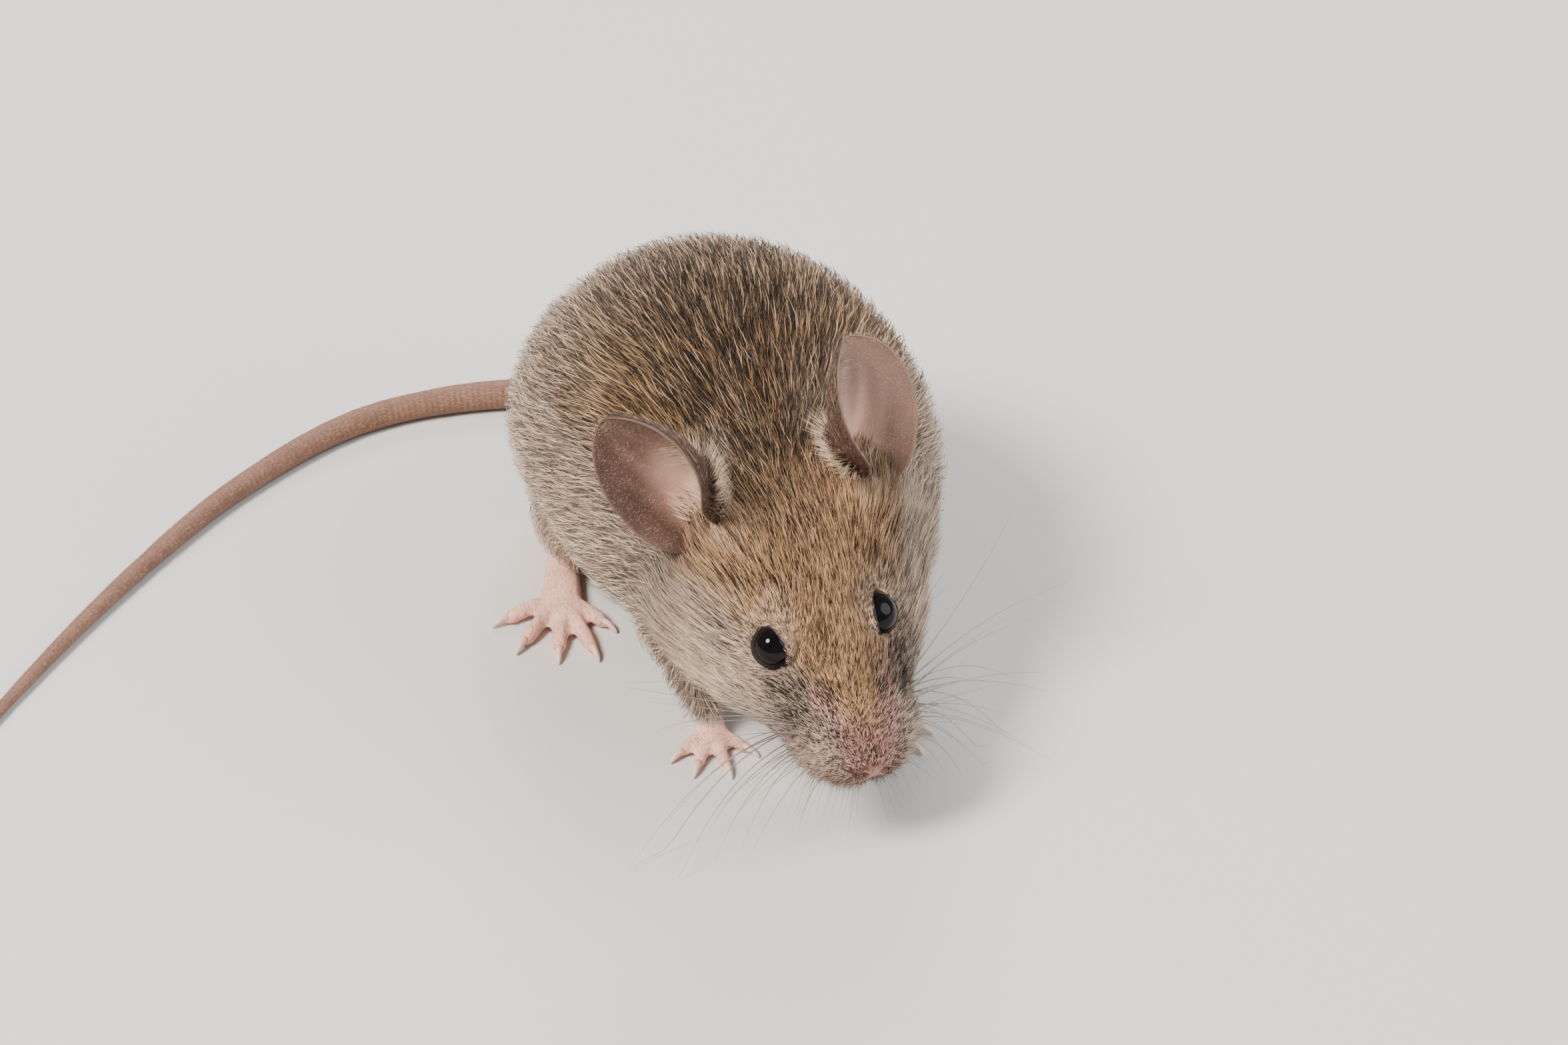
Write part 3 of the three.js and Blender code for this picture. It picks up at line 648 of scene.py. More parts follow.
def ear_surface(side_name, t, u, lift):
    """Points on an ear for t from foot to tip and u across it from -1 to 1."""
    spec = EARS[side_name]
    axis, facing, across = ear_directions(side_name)
    curl = np.radians(EAR["root_curl"] + (EAR["tip_curl"] - EAR["root_curl"]) * ramp(t, 0.05, 0.75))
    back = EAR["dish"] * np.sin(math.pi * t) + 5.0 / curl * (1 - np.cos(curl)) / 2
    centre = head_to_body(spec["root"]) + axis * (EAR["length"] * t)[..., None] - facing * back[..., None]
    inward = u * spec["inner"]  # 1 at the edge near the crown, -1 at the outer edge
    fold = spec["fold"] * ramp(t, 1.0, 0.6)
    inner_half = (1 + fold) * rise_and_round(t, EAR["inner_root"], EAR["inner_wide"], EAR["inner_widest"])
    outer_half = rise_and_round(t, spec["outer_root"], spec["outer_wide"], spec["outer_widest"])
    lobe = np.clip((EAR["lobe_start"] - t) / EAR["lobe_length"], 0, 0.999)
    outer_half = outer_half * np.sqrt(1 - lobe**2)
    tuck = np.clip((0.12 - t) / 0.27, 0, 0.999)
    inner_half = inner_half * np.sqrt(1 - tuck**2)
    inner = inward > 0
    half = np.where(inner, inner_half, outer_half)
    bend = curl * np.where(inner, EAR["inner_curl"] * (1 + fold), EAR["outer_curl"])
    radius = half / bend
    # a low ridge up the middle, a fold beside it and the hollow that leads to the ear channel
    low, high = ramp(t, 0.12, 0.35), ramp(t, 0.9, 0.6)
    relief = 0.26 * np.exp(-(((inward + 0.05 + 0.35 * (t - 0.4)) / 0.11) ** 2)) * low * high
    relief += 0.16 * np.exp(-(((inward + 0.45 + 0.3 * (t - 0.5)) / 0.12) ** 2)) * low * high
    relief -= 0.45 * np.exp(-(((t - 0.3) / 0.16) ** 2) - (((inward + 0.22) / 0.3) ** 2))
    relief += 0.10 * np.sin(7.0 * t + 2.0) * np.abs(u) ** 3
    relief += 0.05 * np.sin(19.0 * t + 5.0 * u) * np.clip(1.2 - t, 0, 1)
    depth = lift + relief
    angle = np.abs(u) * bend
    sideways = np.sign(u) * (radius - depth) * np.sin(angle)
    outwards = radius - (radius - depth) * np.cos(angle)
    return centre + across * sideways[..., None] + facing * outwards[..., None]


def ear_grid():
    """The t and u values of an ear's rings, close together at tip and edges."""
    low = EAR["low_end"]
    t = low + (0.997 - low) * np.sin(np.linspace(0, 1, EAR_LEVELS) * math.pi / 2)
    u = np.linspace(1, -1, EAR_STEPS)
    u = np.sign(u) * np.abs(u) ** 0.9
    return t[:, None] + 0 * u, u[None, :] + 0 * t[:, None]


def ear_shell(side_name):
    """A thin closed ear, smooth inside and out, with a rounded rim."""
    t, u = ear_grid()
    levels, steps = EAR_LEVELS, EAR_STEPS
    rim = np.maximum(np.abs(u) ** 8, ramp(t, 0.93, 1.0))
    half_thickness = EAR["thickness"] / 2 * (1 - 0.62 * rim)
    front = ear_surface(side_name, t, u, half_thickness)
    behind = ear_surface(side_name, t, -u, -half_thickness)
    rings = np.concatenate([front, behind], axis=1)
    sides = 2 * steps
    faces = ring_faces(levels, sides, ((0, 1, 2), (0, 2, 3)))
    for row, flip in ((0, True), (levels - 1, False)):
        base = row * sides
        for j in range(steps - 1):
            p, q = base + j, base + j + 1
            s, w = base + sides - 1 - j, base + sides - 2 - j
            two = [[p, q, w], [p, w, s]]
            faces.append(np.array([tri[::-1] if flip else tri for tri in two]))
    return rings.reshape(-1, 3), np.vstack(faces)


def tail_place(points):
    """Distance along the tail and from its middle line, in millimetres."""
    line = catmull(TAIL_ROUTE, np.linspace(0, 1, 400))
    length = np.concatenate([[0], np.cumsum(np.linalg.norm(np.diff(line, axis=0), axis=1))])
    along = np.empty(len(points))
    away = np.empty(len(points))
    for start in range(0, len(points), 20000):
        block = points[start : start + 20000]
        gaps = np.linalg.norm(block[:, None] - line[None, :: 4], axis=2)
        best = gaps.argmin(1)
        along[start : start + 20000] = length[::4][best]
        away[start : start + 20000] = gaps.min(1)
        tangent = unit(np.gradient(line, axis=0))[::4][best]
        along[start : start + 20000] += ((block - line[::4][best]) * tangent).sum(1)
    return along, away


def may_be_coarse(points, masks):
    """Where the skin is smooth or hidden by the coat: all but the face and the feet."""
    h = body_to_head(points)
    head, nose, foot = (masks[:, REGIONS.index(r)] for r in ("head", "nose", "foot"))
    on_face = (head + nose > 0.3) & (h[:, 1] < FACE_BEHIND_EYES)
    face = on_face | (eye_distance(points) < EYE_SURROUND)
    return ~(face | (foot > 0.15))


def build_skin(settings):
    skin, points, edges, masks = merged_skin()
    strength = smoothing_strength(points, masks)
    points = spread(points, edges, FLESH_SMOOTHING, strength)
    masks = spread(masks, edges, 10)
    put_points(skin.data, points)
    normals = spread(mesh_normals(skin.data), edges, 10)
    inset = spread(coat_depth(points, masks, settings), edges, 25)
    points = points - unit(normals) * inset[:, None]
    put_points(skin.data, points)
    for k, region in enumerate(REGIONS):
        set_attribute(skin.data, "on_" + region, masks[:, k])

    covered = skin.vertex_groups.new(name="thin_out")
    covered.add(np.flatnonzero(may_be_coarse(points, masks)).tolist(), 1.0, "REPLACE")
    thin = skin.modifiers.new("thin_out", "DECIMATE")
    thin.ratio = SKIN_KEPT
    thin.vertex_group = "thin_out"
    thin.vertex_group_factor = 1.0
    graph = bpy.context.evaluated_depsgraph_get()
    thinned = bpy.data.meshes.new_from_object(skin.evaluated_get(graph))
    skin.modifiers.clear()
    skin.vertex_groups.clear()
    skin.data = thinned

    refine_face(skin)
    points = mesh_points(skin.data)
    edges = mesh_edges(skin.data)
    points = shape_muzzle(points, unit(spread(mesh_normals(skin.data), edges, 4)))
    points = shape_lids(points)
    floor = points[:, 2] < 0.0
    points[floor, 2] = 0.0
    put_points(skin.data, points)
    return skin


def finish_skin(skin):
    """Sets the closed ears into the skin's mesh and writes the marking attributes."""
    body_points = mesh_points(skin.data)
    count = len(body_points)
    faces = corner_indices(skin.data).reshape(-1, 3)
    regions = {r: get_attribute(skin.data, "on_" + r) for r in REGIONS}
    shells = [ear_shell(name) for name in SIDES]
    vertices, triangles = stack_shapes([(body_points, faces)] + shells)
    old = skin.data
    name = skin.name
    bpy.data.objects.remove(skin, do_unlink=True)
    bpy.data.meshes.remove(old)
    skin = mesh_object(name, vertices, triangles)
    extra = len(vertices) - count
    for region, values in regions.items():
        set_attribute(skin.data, "on_" + region, np.concatenate([values, np.zeros(extra)]))
    on_ear = np.concatenate([np.zeros(count), np.ones(extra)])
    set_attribute(skin.data, "on_ear", on_ear)
    t, u = ear_grid()
    hollow, height, inward, dusk = (np.zeros(len(vertices)) for _ in range(4))
    start = count
    for name_of_side, (shell_vertices, _) in zip(SIDES, shells):
        here = slice(start, start + len(shell_vertices))
        hollow[here] = np.hstack([np.ones_like(t), np.zeros_like(t)]).ravel()
        height[here] = np.hstack([t, t]).ravel()
        inward[here] = (np.hstack([u, -u]) * EARS[name_of_side]["inner"]).ravel()
        # each ear's share of painted shade
        dusk[here] = EARS[name_of_side]["dusk"]
        start += len(shell_vertices)
    set_attribute(skin.data, "ear_hollow", hollow)
    set_attribute(skin.data, "ear_height", height)
    set_attribute(skin.data, "ear_inward", inward)
    set_attribute(skin.data, "ear_dusk", dusk)
    set_attribute(skin.data, "lid", ramp(lid_gap(vertices), 0.36, 0.2))
    for label, values in markings(vertices).items():
        set_attribute(skin.data, label, values * (1 - on_ear))
    along, away = tail_place(vertices)
    set_attribute(skin.data, "tail_along", np.where(away < 6, along, 0))
    return skin


# ------------------------------------------------------------------ node helpers


class Wires:
    """Short hand for adding nodes to one tree."""

    def __init__(self, tree):
        self.tree = tree

    def node(self, kind, **settings):
        made = self.tree.nodes.new(kind)
        for key, value in settings.items():
            setattr(made, key, value)
        return made

    def feed(self, socket, value):
        if isinstance(value, bpy.types.NodeSocket):
            self.tree.links.new(value, socket)
        else:
            socket.default_value = value

    def attribute(self, name):
        return self.node("ShaderNodeAttribute", attribute_name=name).outputs["Fac"]

    def math(self, operation, a, b=0.0):
        made = self.node("ShaderNodeMath", operation=operation)
        self.feed(made.inputs[0], a)
        self.feed(made.inputs[1], b)
        return made.outputs[0]

    def times(self, a, b):
        return self.math("MULTIPLY", a, b)

    def plus(self, a, b):
        return self.math("ADD", a, b)

    def minus(self, a, b):
        return self.math("SUBTRACT", a, b)

    def remap(self, value, low, high, to_low=0.0, to_high=1.0):
        made = self.node("ShaderNodeMapRange", interpolation_type="SMOOTHSTEP")
        self.feed(made.inputs["Value"], value)
        self.feed(made.inputs["From Min"], low)
        self.feed(made.inputs["From Max"], high)
        self.feed(made.inputs["To Min"], to_low)
        self.feed(made.inputs["To Max"], to_high)
        return made.outputs["Result"]

    def mix(self, factor, a, b):
        made = self.node("ShaderNodeMix", data_type="RGBA")
        self.feed(made.inputs["Factor"], factor)
        self.feed(made.inputs["A"], a)
        self.feed(made.inputs["B"], b)
        return made.outputs["Result"]

    def noise(self, scale, detail=3.0, roughness=0.55):
        vector = self.node("ShaderNodeTexCoord").outputs["Object"]
        made = self.node("ShaderNodeTexNoise")
        self.feed(made.inputs["Vector"], vector)
        made.inputs["Scale"].default_value = scale
        made.inputs["Detail"].default_value = detail
        made.inputs["Roughness"].default_value = roughness
        return made.outputs["Fac"]

    def bump(self, height, strength, distance):
        made = self.node("ShaderNodeBump")
        made.inputs["Strength"].default_value = strength
        made.inputs["Distance"].default_value = distance
        self.feed(made.inputs["Height"], height)
        return made.outputs["Normal"]


def new_material(name, **sockets):
    """A material, its wires and its shader; sockets are written with _ for each space."""
    material = bpy.data.materials.new(name)
    material.use_nodes = True
    wires = Wires(material.node_tree)
    shader = material.node_tree.nodes["Principled BSDF"]
    for label, value in sockets.items():
        shader.inputs[label.replace("_", " ")].default_value = value
    return material, wires, shader


def rgba(colour, gain=1.0):
    return (colour[0] * gain, colour[1] * gain, colour[2] * gain, 1.0)


# ------------------------------------------------------------------ colour groups


MARKS = ("Back", "Tan", "Pale", "Pink", "Shade")
AGOUTI_INPUTS = {**dict.fromkeys(MARKS, 0.0), "Tone": 0.5, "Along": 0.5}


def agouti_group(settings):
    """Colour of one banded hair: dark root, coloured band and tip, by the masks at its root. The dark root
    runs past half the hair and also stands for painted shade deep in the coat.
    """
    tree = bpy.data.node_groups.new("Agouti Hair", "ShaderNodeTree")
    for label, default in AGOUTI_INPUTS.items():
        socket = tree.interface.new_socket(name=label, in_out="INPUT", socket_type="NodeSocketFloat")
        socket.default_value = default
    tree.interface.new_socket(name="Color", in_out="OUTPUT", socket_type="NodeSocketColor")
    source = tree.nodes.new("NodeGroupInput")
    target = tree.nodes.new("NodeGroupOutput")
    w = Wires(tree)
    back, tan, pale, pink, shade, tone, along = source.outputs[: len(AGOUTI_INPUTS)]
    patch = w.noise(420.0, 2.0)
    band = w.mix(tan, rgba(settings.grey_hair), rgba(settings.tan_hair))
    band = w.mix(pale, band, rgba(settings.pale_hair))
    band = w.mix(w.times(back, 0.62), band, rgba(settings.brown_hair))
    band = w.mix(w.times(pink, 0.72), band, rgba(settings.muzzle_hair))
    # each hair differs a little in lightness
    light = w.math("FRACT", w.times(tone, 7.31))
    band = w.mix(w.remap(light, 0.5, 1.0, 0.0, 0.32), band, rgba(settings.pale_hair))
    band = w.mix(w.remap(light, 0.45, 0.0, 0.0, 0.5), band, rgba(settings.brown_hair))
    # a share of the hairs ends dark, most of them along the back
    share = w.plus(w.times(back, 0.30), 0.40)
    share = w.minus(share, w.times(pale, 0.22))
    share = w.plus(share, w.times(w.minus(patch, 0.5), 0.35))
    share = w.plus(share, w.times(shade, 0.6))
    dark = w.remap(w.minus(tone, share), 0.05, -0.08)
    outer = w.remap(w.plus(along, shade), 0.25, 0.5)
    tip = w.mix(w.times(pale, 0.75), rgba(settings.dark_hair), rgba(settings.under_hair, 1.9))
    colour = w.mix(w.times(dark, outer), band, tip)
    # dark grey roots, drawn out past half the hair: partly the hair's own base and partly painted shade down
    # in the coat
    root = w.remap(along, 0.0, 0.6, 0.95, 0.0)
    colour = w.mix(root, colour, rgba(settings.under_hair))
    w.feed(target.inputs["Color"], colour)
    return tree


def agouti_colour(w, tree, tone, along):
    """Places the agouti group in a material, with the marks read from the mesh."""
    made = w.node("ShaderNodeGroup", node_tree=tree)
    for label in MARKS:
        w.feed(made.inputs[label], w.attribute(label.lower()))
    w.feed(made.inputs["Tone"], tone)
    w.feed(made.inputs["Along"], along)
    return made.outputs["Color"]


def coat_material(tree):
    material, w, shader = new_material("coat hair", IOR=1.45, Specular_IOR_Level=0.25)
    colour = agouti_colour(w, tree, w.attribute("tone"), w.attribute("along"))
    w.feed(shader.inputs["Base Color"], colour)
    rough = w.remap(w.attribute("tone"), 0.0, 1.0, 0.46, 0.64)
    w.feed(shader.inputs["Roughness"], rough)
    return material


TAIL_RING = 0.5  # millimetres from one ring of scales to the next


def skin_material(settings, tree):
    """Skin under the coat, on feet, tail, ears and nose, told apart by the region masks."""
    material, w, shader = new_material("skin", Specular_IOR_Level=0.35, Subsurface_Weight=0.12,
                                       Subsurface_Radius=(1.0, 0.35, 0.2), Subsurface_Scale=0.0006)
    flecks = w.noise(2600.0, 2.0)
    under = agouti_colour(w, tree, flecks, w.noise(900.0))
    under = w.mix(0.35, under, rgba(settings.under_hair))
    blotch = w.noise(420.0, 4.0)
    fine = w.noise(3200.0, 3.0)
    pink = w.mix(w.remap(blotch, 0.35, 0.7), rgba(settings.pink_skin), rgba(settings.pink_skin, 0.72))
    colour = w.mix(w.times(w.attribute("pink"), 0.85), under, pink)
    nose = w.mix(w.remap(fine, 0.4, 0.7), rgba(settings.nose_skin), rgba(settings.nose_skin, 0.7))
    colour = w.mix(w.attribute("on_nose"), colour, nose)
    colour = w.mix(w.remap(w.attribute("on_foot"), 0.25, 0.7), colour, pink)
    # tail: ringed and blotched
    rings = w.math("SINE", w.times(w.attribute("tail_along"), 2 * math.pi / TAIL_RING))
    scaled = w.mix(w.remap(rings, -1.0, 1.0), rgba(settings.tail_skin, 0.92), rgba(settings.tail_skin, 1.05))
    scaled = w.mix(w.remap(blotch, 0.3, 0.75), scaled, rgba(settings.tail_skin, 0.8))
    colour = w.mix(w.remap(w.attribute("on_tail"), 0.35, 0.8), colour, scaled)
    # ear: brown-mauve leaf, warmer low down in its hollow, veined, with a pale rim; painted shade darkens the
    # near right ear's leaf, and the far left ear's hollow is painted lighter pink
    veins = w.noise(900.0, 6.0, 0.7)
    leaf = w.mix(w.remap(veins, 0.4, 0.62), rgba(settings.ear_skin), rgba(settings.ear_skin, 0.55))
    hollow, inward = w.attribute("ear_hollow"), w.attribute("ear_inward")
    # painted shade over the outer part of the near ear's leaf
    dusk = w.times(w.remap(inward, 0.1, -0.6), w.remap(w.noise(260.0, 3.0), 0.3, 0.6))
    dusk = w.times(dusk, w.attribute("ear_dusk"))
    leaf = w.mix(w.times(dusk, 0.75), leaf, rgba(settings.ear_skin, 0.5))
    # the far left ear's hollow is painted lighter pink, as if lit; a little pink in both hollows is their own
    # colour
    hollow_pink_and_painted_light = w.times(hollow, w.remap(w.attribute("ear_dusk"), 1.0, 0.0, 0.06, 0.34))
    leaf = w.mix(hollow_pink_and_painted_light, leaf, rgba(settings.ear_pink, 0.8))
    middle = w.remap(w.math("ABSOLUTE", w.minus(inward, 0.25)), 0.9, 0.25)
    warm = w.times(w.times(hollow, middle), w.remap(w.attribute("ear_height"), 0.8, 0.2))
    leaf = w.mix(warm, leaf, rgba(settings.ear_pink))
    outer = w.minus(1.0, hollow)
    leaf = w.mix(w.times(outer, 0.45), leaf, rgba(settings.ear_skin, 0.5))
    rim = w.remap(w.math("ABSOLUTE", inward), 0.985, 1.0)
    leaf = w.mix(w.times(rim, 0.06), leaf, rgba(settings.pale_hair))
    colour = w.mix(w.attribute("on_ear"), colour, leaf)
    colour = w.mix(w.attribute("lid"), colour, rgba(settings.lid_skin))
    w.feed(shader.inputs["Base Color"], colour)
    # relief: tail rings, pores and fine creases
    height = w.times(rings, w.times(w.attribute("on_tail"), 0.25))
    height = w.plus(height, w.times(fine, 0.7))
    w.feed(shader.inputs["Normal"], w.bump(height, 0.5, 0.00012))
    w.feed(shader.inputs["Roughness"], w.remap(w.attribute("on_nose"), 0.0, 1.0, 0.58, 0.34))
    return material


# ------------------------------------------------------------------ eyes, claws, whiskers


EYE_BLACK = (0.002, 0.0018, 0.002)
EYE_BROWN = (0.007, 0.004, 0.003)


def build_eyes():
    material, w, shader = new_material("eye", Roughness=0.04, Specular_IOR_Level=0.18)
    depth = w.remap(w.noise(900.0), 0.35, 0.75)
    w.feed(shader.inputs["Base Color"], w.mix(depth, rgba(EYE_BLACK), rgba(EYE_BROWN)))
    for name, side in SIDES.items():
        remove_piece("eyeball_" + name)
        ball = bmesh.new()
        bmesh.ops.create_uvsphere(ball, u_segments=56, v_segments=36, radius=EYE_RADIUS * MM)
        bmesh.ops.translate(ball, verts=ball.verts, vec=Vector((eye_centre(side) + SHIFT) * MM))
        mesh = bpy.data.meshes.new("eyeball_" + name)
        ball.to_mesh(mesh)
        ball.free()
        mesh.polygons.foreach_set("use_smooth", np.full(len(mesh.polygons), True))
        mesh.materials.append(material)
        eye = link_new("eyeball_" + name, mesh)
        settle(eye, "eye", "eye_" + name)


def toe_frames():
    """Root, heading and length of every toe, with its foot's kind."""
    for ball, turn, side, hind in FEET.values():
        for degrees, length in HIND_TOES if hind else FORE_TOES:
            angle = math.radians(turn + degrees)
            way = np.array([side * math.sin(angle), -math.cos(angle), 0.0])
            a = math.radians(turn)
            ahead = np.array([side * math.sin(a), -math.cos(a), 0.0])
            outward = np.array([side * math.cos(a), math.sin(a), 0.0])
            fan = degrees / TOE_FAN
            size = BALL[hind]
            root = np.array([*ball, 0.0]) + ahead * size * (0.75 - abs(fan) * 0.5)
            root = root + outward * fan * size * 0.72
            yield root, way, length, hind


CLAW_SIDES = 8
CLAW_LEVELS = 9
CLAW_RADIUS = 0.30


def build_claws(settings):
    shapes, along = [], []
    for root, way, length, hind in toe_frames():
        rest = TOE_RADIUS[hind] - 0.15
        reach = np.array([length - 0.25, length + 0.25, length + 0.7, length + 1.05, length + 1.2])
        height = np.array([rest + 0.12, rest + 0.16, rest, rest * 0.55, 0.12])
        line = root + way * reach[:, None] + [0, 0, 1] * height[:, None]
        t = np.linspace(0, 1, CLAW_LEVELS)
        centres = catmull(line, t)
        radii = CLAW_RADIUS * (1 - t) ** 0.75 + 0.035
        shapes.append(tube(centres, radii, CLAW_SIDES))
        along.append(np.concatenate([np.repeat(t, CLAW_SIDES), [0, 1]]))
    vertices, faces = stack_shapes(shapes)
    remove_piece("claws")
    claws = mesh_object("claws", vertices, faces)
    set_attribute(claws.data, "along", np.concatenate(along))
    material, w, shader = new_material("claw horn", Roughness=0.32, Subsurface_Weight=0.2,
                                       Subsurface_Scale=0.0004)
    colour = w.mix(w.attribute("along"), rgba(settings.pink_skin, 0.9), rgba(settings.claw_horn))
    streaks = w.remap(w.noise(3000.0), 0.4, 0.7, 0, 0.3)
    w.feed(shader.inputs["Base Color"], w.mix(streaks, colour, rgba(settings.claw_horn, 0.6)))
    claws.data.materials.append(material)
    settle(claws, "claw")


def whisker_line(root, way, droop, length, points=15):
    """A hair that leaves its root along way and bends towards droop."""
    s = np.linspace(0, 1, points)[:, None]
    line = root + length * (way * s + droop * s**2.3)
    line[:, 2] = np.maximum(line[:, 2], 0.35)
    return line


WHISKER_ROWS, WHISKERS_PER_ROW = 5, 7
WHISKER_RADIUS = 0.052
WHISKER_SIDES = 5
LIP_HAIRS, LIP_HAIR_RADIUS = 17, 0.028
CHEEK_WHISKERS, CHEEK_WHISKER_RADIUS = 2, 0.03


def build_whiskers(settings):
    """Rows of whiskers on each pad, shorter and finer towards the nose, and hairs on lips and cheeks."""
    rng = np.random.default_rng(settings.seed + 5)
    shapes, along = [], []

    def add(root, way, droop, length, radius):
        line = whisker_line(root, way, droop, length)
        t = np.linspace(0, 1, len(line))
        shapes.append(tube(line, radius * (1 - 0.86 * t), WHISKER_SIDES))
        along.append(np.concatenate([np.repeat(t, WHISKER_SIDES), [0, 1]]))

    for side in SIDES.values():
        for row in range(WHISKER_ROWS):
            down = row / (WHISKER_ROWS - 1)
            for place in range(WHISKERS_PER_ROW):
                back = place / (WHISKERS_PER_ROW - 1)
                root = np.array([side * (2.7 + 1.7 * back), -9.6 + 4.1 * back,
                                 -1.4 - 3.4 * down + 0.35 * back])
                root += rng.normal(0, 0.16, 3)
                length = (3.0 + 11.5 * back**1.2) * (1 - 0.15 * down) * rng.uniform(0.75, 1.12)
                way = np.array([side * 0.85, -0.35 + (0.85 - 0.45 * down) * back, 0.55 - 0.85 * down])
                way = unit((way + rng.normal(0, 0.13, 3)) @ HEAD_AXES)
                droop = np.array([side * 0.05, 0.12 - 0.4 * down, -0.16 - 0.38 * down])
                droop = droop + rng.normal(0, 0.11, 3)
                add(head_to_body(root), way, droop, length, WHISKER_RADIUS * (0.75 + 0.4 * back))
    # short curved hairs along the lips
    for side in SIDES.values():
        for k in range(LIP_HAIRS):
            f = (k + rng.uniform(0, 0.8)) / LIP_HAIRS
            root = np.array([side * (0.5 + 3.4 * f), -10.7 + 3.2 * f**1.5, -4.6 - 0.4 * math.sin(f * 3)])
            way = unit(np.array([side * (0.15 + 0.75 * f), -0.8, -0.6]) @ HEAD_AXES)
            droop = np.array([side * 0.05, 0.25, -0.62]) + rng.normal(0, 0.06, 3)
            add(head_to_body(root), way, droop, rng.uniform(2.2, 4.2), LIP_HAIR_RADIUS)
    # a few on each cheek
    for side in SIDES.values():
        for _ in range(CHEEK_WHISKERS):
            root = head_to_body(np.array([side * 7.2, -0.5, -3.6]) + rng.normal(0, 0.2, 3))
            way = unit((np.array([side * 1.0, 0.5, -0.2]) + rng.normal(0, 0.12, 3)) @ HEAD_AXES)
            droop = np.array([0, 0.2, -0.18])
            add(root, way, droop, 7.0 * rng.uniform(0.8, 1.1), CHEEK_WHISKER_RADIUS)
    vertices, faces = stack_shapes(shapes)
    remove_piece("whiskers")
    whiskers = mesh_object("whiskers", vertices, faces)
    set_attribute(whiskers.data, "along", np.concatenate(along))
    material, w, shader = new_material("whisker", Roughness=0.28)
    root_colour = rgba(settings.whisker, 0.32)
    colour = w.mix(w.remap(w.attribute("along"), 0.0, 0.45), root_colour, rgba(settings.whisker))
    streaks = w.remap(w.noise(500.0), 0.4, 0.7, 0, 0.3)
    w.feed(shader.inputs["Base Color"], w.mix(streaks, colour, rgba(settings.whisker, 0.55)))
    whiskers.data.materials.append(material)
    settle(whiskers, "whisker")


# ------------------------------------------------------------------ coat


def hair_direction(points, normals, regions):
    """The lie of the coat: away from the nose, over the back and down the legs."""
    h = body_to_head(points)
    away = unit(h - [0.0, -12.5, -3.2])
    for side in SIDES.values():
        offset = h - eye_in_head(side)
        distance = np.linalg.norm(offset, axis=1, keepdims=True)
        away = away + 1.1 * np.exp(-((distance / 2.9) ** 2)) * unit(offset)
        spec = EARS["left" if side > 0 else "right"]
        gap = np.linalg.norm(h - np.array(spec["root"]), axis=1, keepdims=True)
        away = away + 0.9 * np.exp(-((gap / 3.2) ** 2)) * unit(np.array(spec["stands"]))
    head_way = away @ HEAD_AXES

    side_x = np.clip((points[:, 0] + 0.3) / 15.0, -1, 1)
    rump = ramp(points[:, 1], 20.0, 33.0)
    trunk_way = np.stack([0.30 * side_x, np.ones(len(points)), -0.45 * np.abs(side_x) - 0.9 * rump], 1)

    leg_way = np.stack([0.1 * side_x, np.full(len(points), 0.15), np.full(len(points), -1.0)], 1)
    tail_way = np.tile([-0.7, 0.7, -0.2], (len(points), 1))
    foot_way = np.tile([0.0, -1.0, -0.2], (len(points), 1))

    head = np.clip(regions["head"] + regions["nose"], 0, 1)[:, None]
    leg = regions["leg"][:, None]
    foot = regions["foot"][:, None]
    tail = regions["tail"][:, None]
    way = head * unit(head_way) + (1 - head - leg - foot - tail) * unit(trunk_way)
    way = way + leg * leg_way + tail * tail_way + foot * foot_way
    swirl = hash_noise(points, 6.0, 11)[:, None] * np.cross(normals, unit(way))
    way = unit(way) + 0.16 * swirl
    return laid_flat(way, normals)


class Roots:
    """Random places on the skin, with what a tuft needs to know there."""

    def __init__(self, skin, density_of, count, rng):
        mesh = skin.data
        points = mesh_points(mesh)
        normals = mesh_normals(mesh)
        faces = corner_indices(mesh).reshape(-1, 3)
        regions = {r: get_attribute(mesh, "on_" + r) for r in REGIONS + ("ear",)}
        corners = points[faces]
        sides = corners[:, 1:] - corners[:, :1]
        area = np.linalg.norm(np.cross(sides[:, 0], sides[:, 1]), axis=1) / 2
        middle = corners.mean(1)
        face_regions = {r: values[faces].mean(1) for r, values in regions.items()}
        weight = area * density_of(middle, face_regions, normals[faces].mean(1))
        total = weight.sum()
        if total <= 0:
            raise RuntimeError("no skin to root the coat in")
        chosen = np.searchsorted(np.cumsum(weight) / total, rng.random(count))
        chosen = np.minimum(chosen, len(faces) - 1)
        a, b = np.sqrt(rng.random(count)), rng.random(count)
        bary = np.stack([1 - a, a * (1 - b), a * b], 1)[:, :, None]
        self.points = (corners[chosen] * bary).sum(1)
        self.normals = unit((normals[faces[chosen]] * bary).sum(1))
        self.regions = {r: (values[faces[chosen]] * bary[:, :, 0]).sum(1) for r, values in regions.items()}


class Surface:
    """The skin without its ears, to lay hairs along."""

    def __init__(self, skin):
        mesh = skin.data
        faces = corner_indices(mesh).reshape(-1, 3)
        body = get_attribute(mesh, "on_ear")[faces].max(1) < 0.5
        points = mesh_points(mesh)
        self.tree = BVHTree.FromPolygons(points.tolist(), faces[body].tolist())

    def nearest(self, points):
        """The nearest places on the skin and the way out of it there."""
        found, outwards = np.empty_like(points), np.empty_like(points)
        for i, point in enumerate(points.tolist()):
            found[i], outwards[i] = self.tree.find_nearest(point)[:2]
        return found, outwards


ROOT_DEPTH = 0.06  # how far a tuft's foot is sunk into the skin


